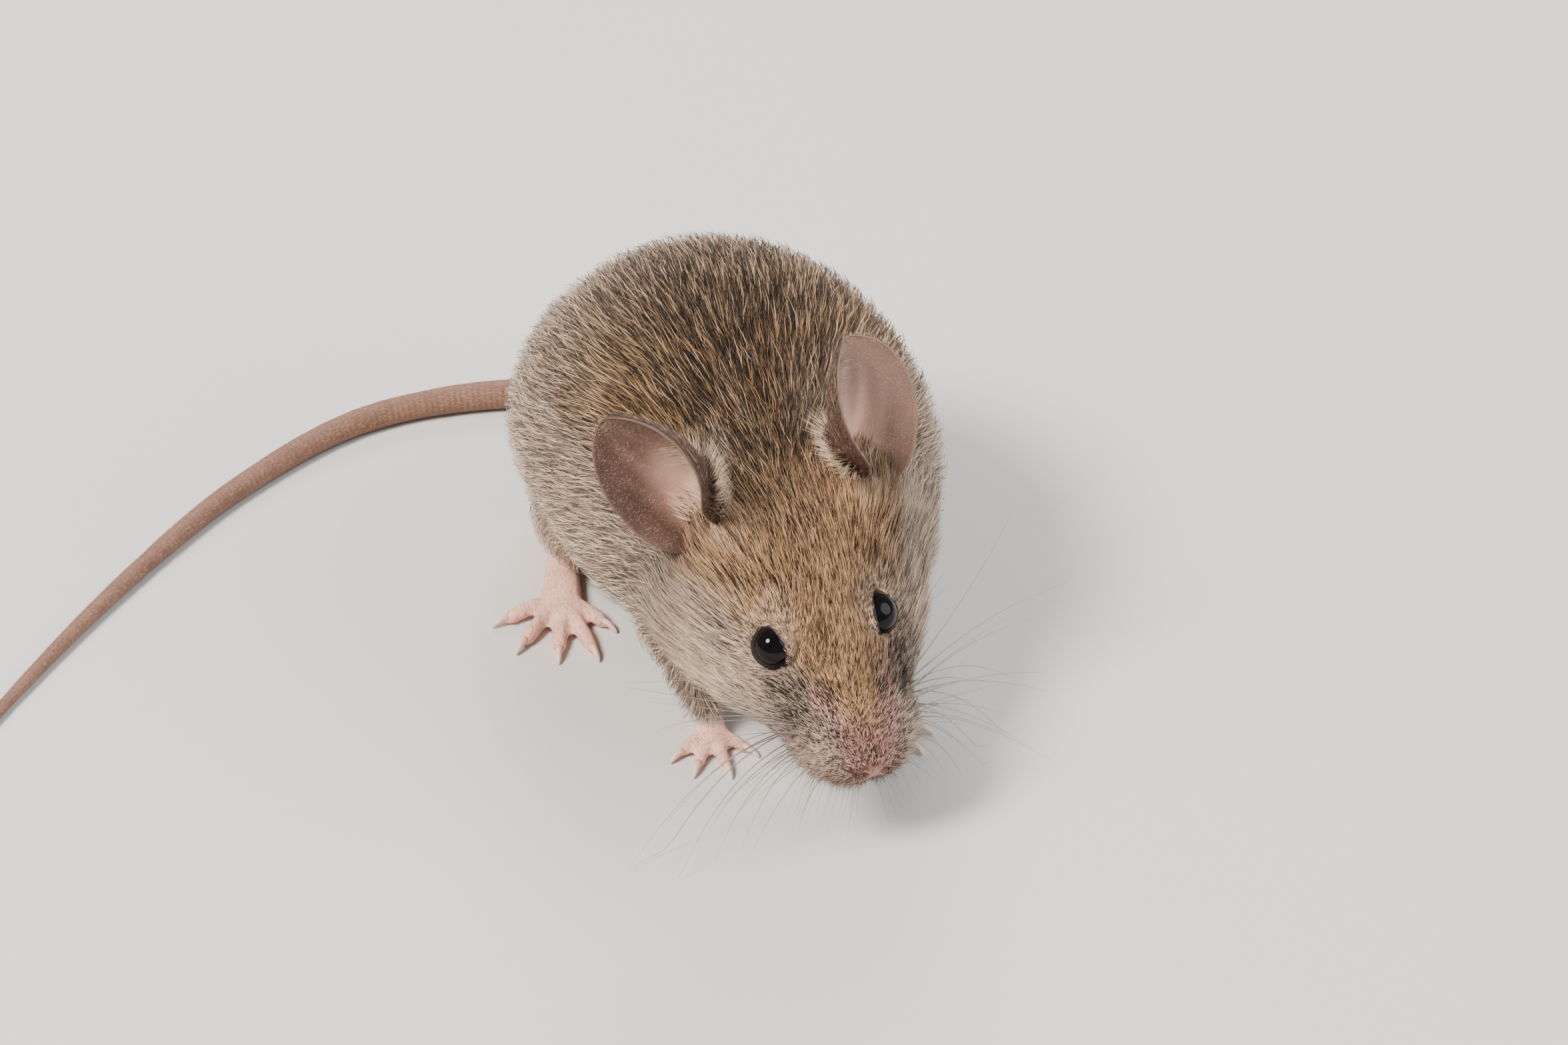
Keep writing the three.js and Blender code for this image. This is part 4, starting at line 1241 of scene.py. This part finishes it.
def tuft_shapes(surface, points, normals, ways, length, width, lift, bend, bent):
    """Closed tapering tufts. Bent ones have a knee halfway; the others are straight spikes."""
    across = unit(np.cross(ways, normals))
    root = points - normals * ROOT_DEPTH
    tip = points + ways * length[:, None] + across * (bend * length)[:, None]
    knee = points + ways * (length * 0.5)[:, None] + across * (bend * length * 0.22)[:, None]
    if surface is None:
        tip, knee = tip + normals * lift[:, None], knee + normals * (lift * 0.6)[:, None]
    else:
        found, outwards = surface.nearest(tip)
        tip = found + outwards * lift[:, None]
        if bent:
            found, outwards = surface.nearest(knee)
            knee = found + outwards * (lift * 0.8)[:, None]
    w = (width / 2)[:, None]

    def corners(centre, scale):
        return [centre - across * w * scale, centre + across * w * scale, centre + normals * w * scale * 0.9]

    count = len(points)
    if bent:
        stack = np.stack(corners(root, 0.8) + corners(knee, 1.0) + [tip], 1)
        pattern = np.array([[0, 1, 2], [0, 3, 4], [0, 4, 1], [1, 4, 5], [1, 5, 2], [2, 5, 3], [2, 3, 0],
                            [3, 6, 4], [4, 6, 5], [5, 6, 3]])
        along = np.array([0, 0, 0, 0.5, 0.5, 0.5, 1.0])
        patch = np.array([[-1, -1], [1, -1], [0, -0.7], [-1, 0], [1, 0], [0, 0.2], [0, 1]])
    else:
        stack = np.stack(corners(root, 1.0) + [tip], 1)
        pattern = np.array([[0, 1, 2], [0, 3, 1], [1, 3, 2], [2, 3, 0]])
        along = np.array([0, 0, 0, 1.0])
        patch = np.array([[-1, -1], [1, -1], [0, -0.7], [0, 1]])
    size = len(along)
    faces = (pattern[None] + (np.arange(count) * size)[:, None, None]).reshape(-1, 3)
    return stack.reshape(-1, 3), faces, np.tile(along, count), patch, size


def unwrap_roots(points):
    """Angle round the body's long axis and place along it, filling 0 to 1 for these roots."""
    axis_z = 13.0 + 2.0 * ramp(points[:, 1], 4.0, -10.0) - 3.0 * ramp(points[:, 1], -8.0, -18.0)
    axis_x = 0.2 + 1.8 * ramp(points[:, 1], 0.0, -14.0)
    turn = np.arctan2(points[:, 0] - axis_x, points[:, 2] - axis_z)
    from_axis = np.hypot(points[:, 0] - axis_x, points[:, 2] - axis_z)
    along = points[:, 1] + 0.35 * from_axis * np.sign(points[:, 1] - 8)
    chart = np.stack([turn, along], 1)
    low, high = chart.min(0), chart.max(0)
    return 0.01 + 0.98 * (chart - low) / np.maximum(high - low, 1e-6)


OFBAKE_PATCH = 0.003  # width of one tuft's patch on its piece's map


class Hairs:
    """Arrays that hold one value for each hair: where it is rooted and how it grows."""

    LABELS = ("points", "normals", "ways", "length", "width", "lift", "bend", "tone")

    def __init__(self, *values):
        for label, value in zip(self.LABELS, values):
            setattr(self, label, value)

    def part(self, chosen):
        return Hairs(*(getattr(self, label)[chosen] for label in self.LABELS))


def joined_hairs(groups):
    return Hairs(*(np.concatenate([getattr(g, label) for g in groups]) for label in Hairs.LABELS))


def misses_eyes(tufts):
    """Which tufts, given as corners from root to tip, pass clear of both eyeballs."""
    root, tip = tufts[:, :3].mean(1), tufts[:, -1]
    run = tip - root
    clear = np.ones(len(tufts), bool)
    for side in SIDES.values():
        centre = eye_centre(side)
        share = np.clip(((centre - root) * run).sum(1) / (run**2).sum(1), 0, 1)
        middle_line = np.linalg.norm(root + run * share[:, None] - centre, axis=1)
        corners = np.linalg.norm(tufts - centre, axis=2).min(1)
        clear &= np.minimum(middle_line, corners) > EYE_RADIUS
    return clear


def coat_piece(name, hairs, bent, material, surface=None, marks=None):
    """One joined mesh of tufts, with its attributes and its bake map."""
    vertices, faces, along, patch, size = tuft_shapes(
        surface, hairs.points, hairs.normals, hairs.ways, hairs.length, hairs.width,
        hairs.lift, hairs.bend, bent)
    tufts = vertices.reshape(-1, size, 3)
    clear = misses_eyes(tufts)
    faces = faces[: len(faces) // len(tufts) * clear.sum()]
    vertices, along, hairs = tufts[clear].reshape(-1, 3), along[: clear.sum() * size], hairs.part(clear)
    vertices[:, 2] = np.maximum(vertices[:, 2], 0.02)
    remove_piece(name)
    piece = mesh_object(name, vertices, faces)
    mesh = piece.data
    set_attribute(mesh, "along", along)
    set_attribute(mesh, "tone", np.repeat(hairs.tone, size))
    marked = markings(hairs.points)
    for label, values in marked.items():
        if marks is not None:
            values = np.full(len(values), marks.get(label, 0.0))
        set_attribute(mesh, label, np.repeat(values, size))
    place = unwrap_roots(hairs.points)
    per_vertex = (place[:, None, :] + patch[None] * (OFBAKE_PATCH / 2)).reshape(-1, 2)
    layer = mesh.uv_layers.new(name="OFBake")
    layer.uv.foreach_set("vector", per_vertex[corner_indices(mesh)].astype(np.float32).ravel())
    mesh.materials.append(material)
    settle(piece, "coat")
    return piece


TRUNK_WIDTH, GUARD_WIDTH, HEAD_WIDTH = 0.066, 0.068, 0.060  # of one tuft
TRUNK_LOCK, HEAD_LOCK = 0.4, 0.26  # size of a lock of hairs that are alike in tone
LEAST_LIFT = {"trunk": 0.08, "near_eyes": 0.11, "head": 0.05}  # how far the tips stand off at least
MIDDLE_X = 0.2  # the trunk's own middle, where its coat is cut in a right and a left half
BACK_FROM, RUMP_FROM = 9.0, 20.0  # where the coat of the trunk is cut across
CROWN_FROM = -2.5  # where the coat of the head is cut across, in the head's frame
UNDERSIDE = -0.35  # normals that point further down than this belong to the belly


def clear_of_eyes(points):
    """1 away from the eyes, 0 on the lids and in the openings."""
    return ramp(lid_gap(points), 0.16, 0.3)


def trunk_density(points, regions, normals):
    hidden = ramp(points[:, 2], 0.8, 2.5)
    belly = 1 - 0.55 * ramp(normals[:, 2], -0.3, -0.8)
    leg = regions["leg"] * ramp(points[:, 2], 2.0, 4.0) * 1.2
    return (np.clip(regions["trunk"] + regions["neck"], 0, 1) * belly + leg) * hidden * (1 - regions["ear"])


def head_density(points, regions, normals):
    h = body_to_head(points)
    nose_pad = bump_at(h, *NOSE_PAD)
    base = np.clip(regions["head"] + 0.9 * regions["nose"], 0, 1) * (1 - np.clip(1.3 * nose_pad, 0, 1))
    underside = 1 - 0.5 * ramp(normals[:, 2], -0.2, -0.7)
    finer = 1 + 1.0 * ramp(h[:, 1], -3.0, -8.0) + 1.6 * ramp(lid_gap(points), 1.2, 0.3)
    for name in SIDES:
        base = base * (1 - np.clip(1.3 * bump_at(h, ear_cup(name), 1.7), 0, 1))
    return base * underside * finer * clear_of_eyes(points) * (1 - regions["ear"])


def tufts_for(number):
    return number // 1


def tones_in_locks(points, rng, size):
    """A number from 0 to 1 for each hair, alike for neighbours within size millimetres."""
    raw = hash_noise(points, size, 31)
    raw = raw / raw.std() + 0.75 * rng.normal(0, 1, len(points))
    ranks = np.empty(len(points))
    ranks[np.argsort(raw)] = np.arange(len(points))
    return (ranks + 0.5) / len(points)


def trunk_hairs(skin, settings, count, rng, guard):
    """Hairs on trunk, neck and legs; guard hairs are longer, thicker and stand out a little."""
    roots = Roots(skin, trunk_density, count, rng)
    p, n, regions = roots.points, roots.normals, roots.regions
    ways = hair_direction(p, n, regions)
    clump = hash_noise(p, 1.4, 21)
    ways = unit(ways + 0.13 * clump[:, None] * np.cross(n, ways) + rng.normal(0, 0.06, p.shape))
    neck, leg = regions["neck"], regions["leg"]
    low = ramp(p[:, 2], 6.0, 2.0)
    length = settings.back_hair / MM * (1.0 if guard else 0.8) * (1 - 0.3 * neck) * (1 - 0.5 * leg)
    length = length * rng.uniform(0.7, 1.15, count) * (1 - 0.35 * low)
    width = (GUARD_WIDTH if guard else TRUNK_WIDTH) * rng.uniform(0.7, 1.25, count) * (1 - 0.2 * leg)
    reach = rng.uniform(0.6, 1.55, count) if guard else rng.uniform(0.25, 1.0, count)
    lift = settings.coat_depth / MM * reach * (1 - 0.35 * leg - 0.3 * neck) + 0.12 * clump
    tone = tones_in_locks(p, rng, TRUNK_LOCK)
    lift = np.maximum(lift, LEAST_LIFT["trunk"])
    return Hairs(p, n, ways, length, width, lift, rng.normal(0, 0.10, count), tone)


def build_trunk_coat(skin, surface, settings, material):
    rng = np.random.default_rng(settings.seed)
    hairs = trunk_hairs(skin, settings, tufts_for(settings.trunk_tufts), rng, False)
    x, y = hairs.points[:, 0], hairs.points[:, 1]
    right = x < MIDDLE_X
    low = hairs.normals[:, 2] < UNDERSIDE
    on_back = (y >= BACK_FROM) & (y < RUMP_FROM)
    zones = (("shoulder", y < BACK_FROM), ("back", on_back), ("rump", y >= RUMP_FROM))
    for label, zone in zones:
        coat_piece(f"coat_{label}_right", hairs.part(zone & right & ~low), False, material, surface)
        coat_piece(f"coat_{label}_left", hairs.part(zone & ~right & ~low), False, material, surface)
    coat_piece("coat_belly", hairs.part(low), False, material, surface)
    hairs = trunk_hairs(skin, settings, tufts_for(settings.guard_tufts), rng, True)
    right = hairs.points[:, 0] < MIDDLE_X
    coat_piece("guard_hairs_right", hairs.part(right), True, material, surface)
    coat_piece("guard_hairs_left", hairs.part(~right), True, material, surface)


def build_head_coat(skin, surface, settings, material):
    rng = np.random.default_rng(settings.seed + 1)
    count = tufts_for(settings.head_tufts)
    roots = Roots(skin, head_density, count, rng)
    p, n, regions = roots.points, roots.normals, roots.regions
    h = body_to_head(p)
    ways = hair_direction(p, n, regions)
    back = ramp(h[:, 1], -9.5, 6.0)
    cheek = ramp(np.abs(h[:, 0]), 4.0, 7.5) * ramp(h[:, 1], -6.5, -1.0)
    front = ramp(h[:, 1], -5.0, -8.0)
    clump = hash_noise(p, 0.8, 22)
    scatter = 0.09 + 0.26 * front
    swerve = 0.12 * clump[:, None] * np.cross(n, ways)
    ways = unit(ways + swerve + rng.normal(0, 1, p.shape) * scatter[:, None])
    length = settings.head_hair / MM * (0.40 - 0.02 * front + 0.7 * back + 0.55 * cheek)
    length = length * rng.uniform(0.7, 1.2, count)
    near_eye = eye_distance(p)
    length *= 0.38 + 0.62 * ramp(near_eye, 1.8, 3.4)
    width = (HEAD_WIDTH + 0.016 * back) * rng.uniform(0.75, 1.25, count)
    nape = ramp(h[:, 1], 4.0, 11.0)
    lift = (0.16 + 0.34 * back + 0.35 * nape) * rng.uniform(0.2, 1.25, count) + 0.05 * clump
    length *= 1 + 0.35 * nape
    lift += front * (0.5 * rng.uniform(0.1, 1.3, count) + 0.2 * np.clip(hash_noise(p, 0.6, 23), -1, 1))
    lift = np.maximum(lift * (0.5 + 0.5 * ramp(near_eye, 2.0, 3.0)), LEAST_LIFT["near_eyes"])
    fluff = cheek * ramp(near_eye, 2.2, 4.0)
    length *= 1 + 0.25 * fluff
    lift += 0.75 * fluff * rng.uniform(0, 1, count) ** 2
    ear_roots_at = [np.array(spec["root"]) for spec in EARS.values()]
    near_ear = np.min([np.linalg.norm(h - root, axis=1) for root in ear_roots_at], axis=0)
    collar = ramp(near_ear, 4.2, 2.2)
    length *= 1 + 0.35 * collar
    lift += 0.7 * collar * rng.uniform(0.2, 1.0, count)
    tone = tones_in_locks(p, rng, HEAD_LOCK)
    lift += 0.09 * ramp(tone, 0.5, 0.3)
    lift = np.maximum(lift, LEAST_LIFT["head"])
    hairs = Hairs(p, n, ways, length, width, lift, rng.normal(0, 0.06, count), tone)
    for side_name, side in SIDES.items():
        this_side = (h[:, 0] > 0) == (side > 0)
        for label, zone in (("face", h[:, 1] < CROWN_FROM), ("crown", h[:, 1] >= CROWN_FROM)):
            coat_piece(f"coat_{label}_{side_name}", hairs.part(this_side & zone), False, material, surface)


def ear_roots(side_name, count, front, rng, t_range, inward_range):
    """Random places on an ear's face, with its normals, the way up it and the way to its inner edge."""
    inner = EARS[side_name]["inner"]
    t = rng.uniform(*t_range, count)
    u = rng.uniform(*inward_range, count) * inner
    lift = np.full(count, (0.5 if front else -0.5) * EAR["thickness"])
    here = ear_surface(side_name, t, u, lift)
    up = unit(ear_surface(side_name, t - 0.01, u, lift) - here) * -1
    over = unit(ear_surface(side_name, t, u * 0.98, lift) - here) * np.sign(u)[:, None] * inner
    over = over - up * (over * up).sum(1, keepdims=True)
    normal = unit(np.cross(over, up))
    toward = ear_surface(side_name, t, u, lift * 1.4) - here
    normal = normal * np.sign((normal * toward).sum(1, keepdims=True))
    return here, normal, up, unit(over)


EAR_HAIR_REACH = {"right": 0.6, "left": 0.9}  # how far up each hollow the longer hairs grow
# Each kind: how many, whether on the front, from where to where up the ear (None: as above) and across
# it (1 at the inner edge), its lean up and inwards, length, width, how far tips stand off, and tone.
EAR_HAIRS = (
    ("down", 2300, True, 0.1, 0.98, (-0.97, 0.5), 0.5, 0.9,
     (0.16, 0.4), (0.018, 0.028), (0.03, 0.12), (0.5, 1.0)),
    ("down", 800, True, 0.1, None, (0.3, 0.97), 0.35, 1.0,
     (1.0, 2.3), (0.026, 0.04), (0.3, 1.0), (0.6, 1.0)),
    ("down", 200, True, 0.03, 0.22, (-0.35, 0.5), 1.0, 0.1,
     (1.4, 2.4), (0.04, 0.055), (0.4, 1.1), (0.8, 1.0)),
    ("down", 350, True, 0.12, None, (0.72, 0.97), 0.3, 0.6,
     (0.8, 1.5), (0.026, 0.04), (0.7, 1.7), (0.6, 1.0)),
    ("down", 560, False, 0.0, 0.42, (0.15, 0.85), 1.0, -0.15,
     (1.6, 3.0), (0.035, 0.055), (0.7, 1.9), (0.3, 1.0)),
    ("down", 700, False, 0.1, 0.99, (-1.0, 0.2), 0.9, 0.4,
     (0.3, 0.7), (0.025, 0.04), (0.03, 0.12), (0.6, 1.0)),
    ("fringe", 1900, False, 0.1, 0.97, (0.1, 0.97), 1.0, -0.25,
     (0.5, 1.1), (0.03, 0.05), (0.04, 0.16), (0.0, 0.75)),
    ("down", 500, False, 0.0, 0.3, (-0.9, 0.5), 1.0, 0.0,
     (1.2, 2.2), (0.045, 0.06), (0.1, 0.4), (0.25, 1.0)),
)
EAR_HAIR_MARKS = {"down": {"pale": 0.68, "tan": 0.7}, "fringe": {"back": 0.55, "tan": 0.3}}


def build_ear_hairs(settings, material):
    """Fine pale down on the leaves, pale locks in and behind the hollow, dark hairs behind the inner fold."""
    rng = np.random.default_rng(settings.seed + 2)
    for side_name, reach in EAR_HAIR_REACH.items():
        grown = {"down": [], "fringe": []}
        for kind, number, front, low, high, across, up_part, over_part, *growth in EAR_HAIRS:
            length, width, lift, tone = growth
            number = tufts_for(number)
            up_range = (low, reach if high is None else high)
            here, normal, up, over = ear_roots(side_name, number, front, rng, up_range, across)
            ways = laid_flat(up * up_part + over * over_part + rng.normal(0, 0.12, up.shape), normal)
            grown[kind].append(Hairs(
                here, normal, ways, rng.uniform(*length, number), rng.uniform(*width, number),
                rng.uniform(*lift, number), rng.normal(0, 0.05, number), rng.uniform(*tone, number)))
        for kind, groups in grown.items():
            name = f"ear_{kind}_{side_name}"
            coat_piece(name, joined_hairs(groups), False, material, None, EAR_HAIR_MARKS[kind])


LIMB_HAIRS = 9000
LIMB_HAIR_MARKS = {"pale": 0.25, "tan": 0.6, "pink": 0.5}


def limb_hair_density(points, regions, normals):
    upper = ramp(normals[:, 2], -0.2, 0.4)
    off_floor = ramp(points[:, 2], 0.2, 0.7)
    return (regions["foot"] * 0.9 + regions["tail"] * 0.8) * upper * (1 - regions["ear"]) * off_floor


def build_limb_hairs(skin, settings, material):
    """Short sparse hairs on the feet and the tail."""
    rng = np.random.default_rng(settings.seed + 3)
    roots = Roots(skin, limb_hair_density, tufts_for(LIMB_HAIRS), rng)
    p, n = roots.points, roots.normals
    line = catmull(TAIL_ROUTE, np.linspace(0, 1, 200))
    nearest = np.linalg.norm(p[:, None] - line[None], axis=2).argmin(1)
    tangent = unit(np.gradient(line, axis=0))[nearest]
    tail = (roots.regions["tail"] > roots.regions["foot"])[:, None]
    ways = np.where(tail, tangent, np.array([0.0, -1.0, -0.1]))
    ways = laid_flat(unit(ways + rng.normal(0, 0.12, p.shape)), n)
    count = len(p)
    hairs = Hairs(p, n, ways, rng.uniform(0.35, 0.75, count), rng.uniform(0.03, 0.045, count),
                  rng.uniform(0.03, 0.1, count), rng.normal(0, 0.05, count), rng.uniform(0.2, 0.9, count))
    coat_piece("hairs_on_feet_and_tail", hairs, False, material, None, LIMB_HAIR_MARKS)


# ------------------------------------------------------------------ stage

CAMERA_AZIMUTH = math.radians(-15.0)
CAMERA_HEIGHT = math.radians(40.0)
CAMERA_DISTANCE = 400.0
CAMERA_AIM = np.array([-0.12, -3.37, 21.75])
CAMERA_LENS = 123.7
SENSOR = 36.0
FLOOR_SPAN = 3.0
SKY_COLOUR = (0.86, 0.90, 1.0, 1.0)
LAMP_TARGET = (0.015, -0.005, 0.015)
# Name, place, size, share of the main lamp's power, and colour.
LAMPS = (
    ("key", (-0.58, -0.18, 0.80), 0.34, 1.0, (1.0, 0.965, 0.91)),
    ("fill", (0.8, -0.35, 0.65), 1.1, 0.62, (0.9, 0.95, 1.0)),
    ("rim", (0.25, 0.8, 0.6), 0.4, 0.35, (1.0, 0.98, 0.95)),
)


def build_stage(settings):
    remove_piece("floor")
    mesh = bpy.data.meshes.new("floor")
    signs = ((-1, -1), (1, -1), (1, 1), (-1, 1))
    mesh.from_pydata([(x * FLOOR_SPAN, y * FLOOR_SPAN, 0) for x, y in signs], [], [(0, 1, 2, 3)])
    material, _, shader = new_material("studio floor", Roughness=0.85)
    shader.inputs["Base Color"].default_value = rgba(settings.floor)
    mesh.materials.append(material)
    link_new("floor", mesh)

    world = bpy.data.worlds.new("studio")
    world.use_nodes = True
    background = world.node_tree.nodes["Background"]
    background.inputs["Color"].default_value = SKY_COLOUR
    background.inputs["Strength"].default_value = settings.sky_strength
    bpy.context.scene.world = world

    for name, place, size, share, colour in LAMPS:
        data = bpy.data.lights.new(name, "AREA")
        data.energy, data.size, data.color = settings.key_power * share, size, colour
        data.shape = "DISK"
        lamp = link_new(name, data)
        lamp.location = place
        lamp.rotation_euler = (Vector(LAMP_TARGET) - Vector(place)).to_track_quat("-Z", "Y").to_euler()

    data = bpy.data.cameras.new("camera")
    camera = link_new("camera", data)
    back = np.array([math.sin(CAMERA_AZIMUTH) * math.cos(CAMERA_HEIGHT),
                     -math.cos(CAMERA_AZIMUTH) * math.cos(CAMERA_HEIGHT), math.sin(CAMERA_HEIGHT)])
    camera.location = (CAMERA_AIM + SHIFT + back * CAMERA_DISTANCE) * MM
    camera.rotation_euler = Vector(-back).to_track_quat("-Z", "Y").to_euler()
    data.lens, data.sensor_width = CAMERA_LENS, SENSOR
    data.clip_start, data.clip_end = 0.01, 20.0
    bpy.context.scene.camera = camera


# ------------------------------------------------------------------ settings


def length_setting(name, default, description):
    return FloatProperty(name=name, default=default, min=0.0, unit="LENGTH", description=description)


def colour_setting(name, default, description):
    return FloatVectorProperty(
        name=name, default=default, subtype="COLOR", size=3, min=0.0, max=1.0, description=description)


def tuft_setting(name, default, description):
    return IntProperty(name=name, default=default, min=100, description=description)


class MouseSettings(PropertyGroup):
    coat_depth: length_setting("Coat Depth", 0.00115, "From the skin of the back to the tips of its hairs")
    back_hair: length_setting("Back Hair", 0.0042, "Length of the hairs on the back and flanks")
    head_hair: length_setting("Head Hair", 0.0018, "Length of the hairs on the crown")
    trunk_tufts: tuft_setting("Trunk Tufts", 185000, "Short tufts on trunk, neck and legs")
    guard_tufts: tuft_setting("Guard Tufts", 26000, "Longer tufts among those of the trunk")
    head_tufts: tuft_setting("Head Tufts", 84000, "Tufts on the head")
    seed: IntProperty(name="Seed", default=41, description="Changes how the tufts are scattered")
    tan_hair: colour_setting("Tan Hair", (0.70, 0.40, 0.185), "Band of the hairs on brow and back")
    brown_hair: colour_setting("Brown Hair", (0.15, 0.083, 0.042), "Darker brown of the back")
    grey_hair: colour_setting("Grey Hair", (0.54, 0.41, 0.31), "Hairs between tan and pale")
    pale_hair: colour_setting("Pale Hair", (0.80, 0.61, 0.46), "Cheeks, flanks and rings of the eyes")
    dark_hair: colour_setting("Dark Hair", (0.012, 0.008, 0.006), "Hairs that are dark at the tip")
    under_hair: colour_setting("Under Hair", (0.060, 0.042, 0.031), "Roots of all hairs")
    muzzle_hair: colour_setting("Muzzle Hair", (0.78, 0.40, 0.33), "Short hairs on the muzzle")
    pink_skin: colour_setting("Pink Skin", (0.95, 0.53, 0.41), "Feet and bare skin of the muzzle")
    nose_skin: colour_setting("Nose Skin", (0.36, 0.165, 0.125), "Nose pad")
    lid_skin: colour_setting("Lid Skin", (0.018, 0.010, 0.012), "Rims of the eyelids")
    ear_skin: colour_setting("Ear Skin", (0.115, 0.052, 0.033), "Leaf of the ear")
    ear_pink: colour_setting("Ear Hollow", (0.74, 0.45, 0.33), "Low down in the hollow of the ear")
    tail_skin: colour_setting("Tail Skin", (0.225, 0.112, 0.072), "Scaly skin of the tail")
    claw_horn: colour_setting("Claw Horn", (0.75, 0.62, 0.5), "Tips of the claws")
    whisker: colour_setting("Whisker", (0.27, 0.22, 0.18), "Outer length of the whiskers")
    floor: colour_setting("Floor", (0.66, 0.63, 0.59), "Plain studio floor")
    key_power: FloatProperty(
        name="Key Light", default=19.0, min=0.0, unit="POWER", description="Power of the main lamp")
    sky_strength: FloatProperty(
        name="Sky", default=0.46, min=0.0, description="Strength of the even light all round")


# ------------------------------------------------------------------ operators


def skin_piece():
    skin = bpy.data.objects.get("skin")
    if skin is None:
        raise RuntimeError("the skin has to be made first")
    return skin


def shared_agouti(settings):
    return bpy.data.node_groups.get("Agouti Hair") or agouti_group(settings)


def shared_coat_material(settings):
    return bpy.data.materials.get("coat hair") or coat_material(shared_agouti(settings))


class MOUSE_OT_skin(Operator):
    """Merges the flesh solids into one skin with lids and muzzle, and sets the ears into it"""

    bl_idname = "mouse.skin"
    bl_label = "Make Skin"

    def execute(self, context):
        settings = context.scene.mouse
        remove_piece("skin")
        skin = finish_skin(build_skin(settings))
        skin.data.materials.append(skin_material(settings, shared_agouti(settings)))
        settle(skin, "coat", *FLESH, *EARS_CAD)
        return {"FINISHED"}


class MOUSE_OT_eyes(Operator):
    """Makes the two glossy eyeballs"""

    bl_idname = "mouse.eyes"
    bl_label = "Make Eyes"

    def execute(self, context):
        build_eyes()
        return {"FINISHED"}


class MOUSE_OT_claws(Operator):
    """Makes a claw at the end of every toe"""

    bl_idname = "mouse.claws"
    bl_label = "Make Claws"

    def execute(self, context):
        build_claws(context.scene.mouse)
        return {"FINISHED"}


class MOUSE_OT_whiskers(Operator):
    """Makes the whiskers of muzzle, lips and cheeks"""

    bl_idname = "mouse.whiskers"
    bl_label = "Make Whiskers"

    def execute(self, context):
        build_whiskers(context.scene.mouse)
        return {"FINISHED"}


class MOUSE_OT_coat(Operator):
    """Roots the coat's tufts in the skin of trunk, head, ears, feet and tail"""

    bl_idname = "mouse.coat"
    bl_label = "Make Coat"

    def execute(self, context):
        settings = context.scene.mouse
        material = shared_coat_material(settings)
        skin = skin_piece()
        surface = Surface(skin)
        build_trunk_coat(skin, surface, settings, material)
        build_head_coat(skin, surface, settings, material)
        build_ear_hairs(settings, material)
        build_limb_hairs(skin, settings, material)
        return {"FINISHED"}


class MOUSE_OT_stage(Operator):
    """Sets up the floor, the lights and the camera"""

    bl_idname = "mouse.stage"
    bl_label = "Make Stage"

    def execute(self, context):
        build_stage(context.scene.mouse)
        return {"FINISHED"}


STEPS = ("skin", "eyes", "claws", "whiskers", "coat", "stage")


class MOUSE_PT_panel(Panel):
    bl_label = "House Mouse"
    bl_idname = "MOUSE_PT_panel"
    bl_space_type = "VIEW_3D"
    bl_region_type = "UI"
    bl_category = "Mouse"

    def draw(self, context):
        settings = context.scene.mouse
        for name in MouseSettings.__annotations__:
            self.layout.prop(settings, name)
        for step in STEPS:
            self.layout.operator("mouse." + step)


CLASSES = (MouseSettings, MOUSE_OT_skin, MOUSE_OT_eyes, MOUSE_OT_claws, MOUSE_OT_whiskers,
           MOUSE_OT_coat, MOUSE_OT_stage, MOUSE_PT_panel)


def register():
    for cls in CLASSES:
        bpy.utils.register_class(cls)
    bpy.types.Scene.mouse = PointerProperty(type=MouseSettings)


def unregister():
    del bpy.types.Scene.mouse
    for cls in reversed(CLASSES):
        bpy.utils.unregister_class(cls)


def main():
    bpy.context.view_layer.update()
    register()
    for piece in bpy.context.selected_objects:
        piece.select_set(False)
    for step in STEPS:
        getattr(bpy.ops.mouse, step)()


if __name__ == "__main__":
    main()
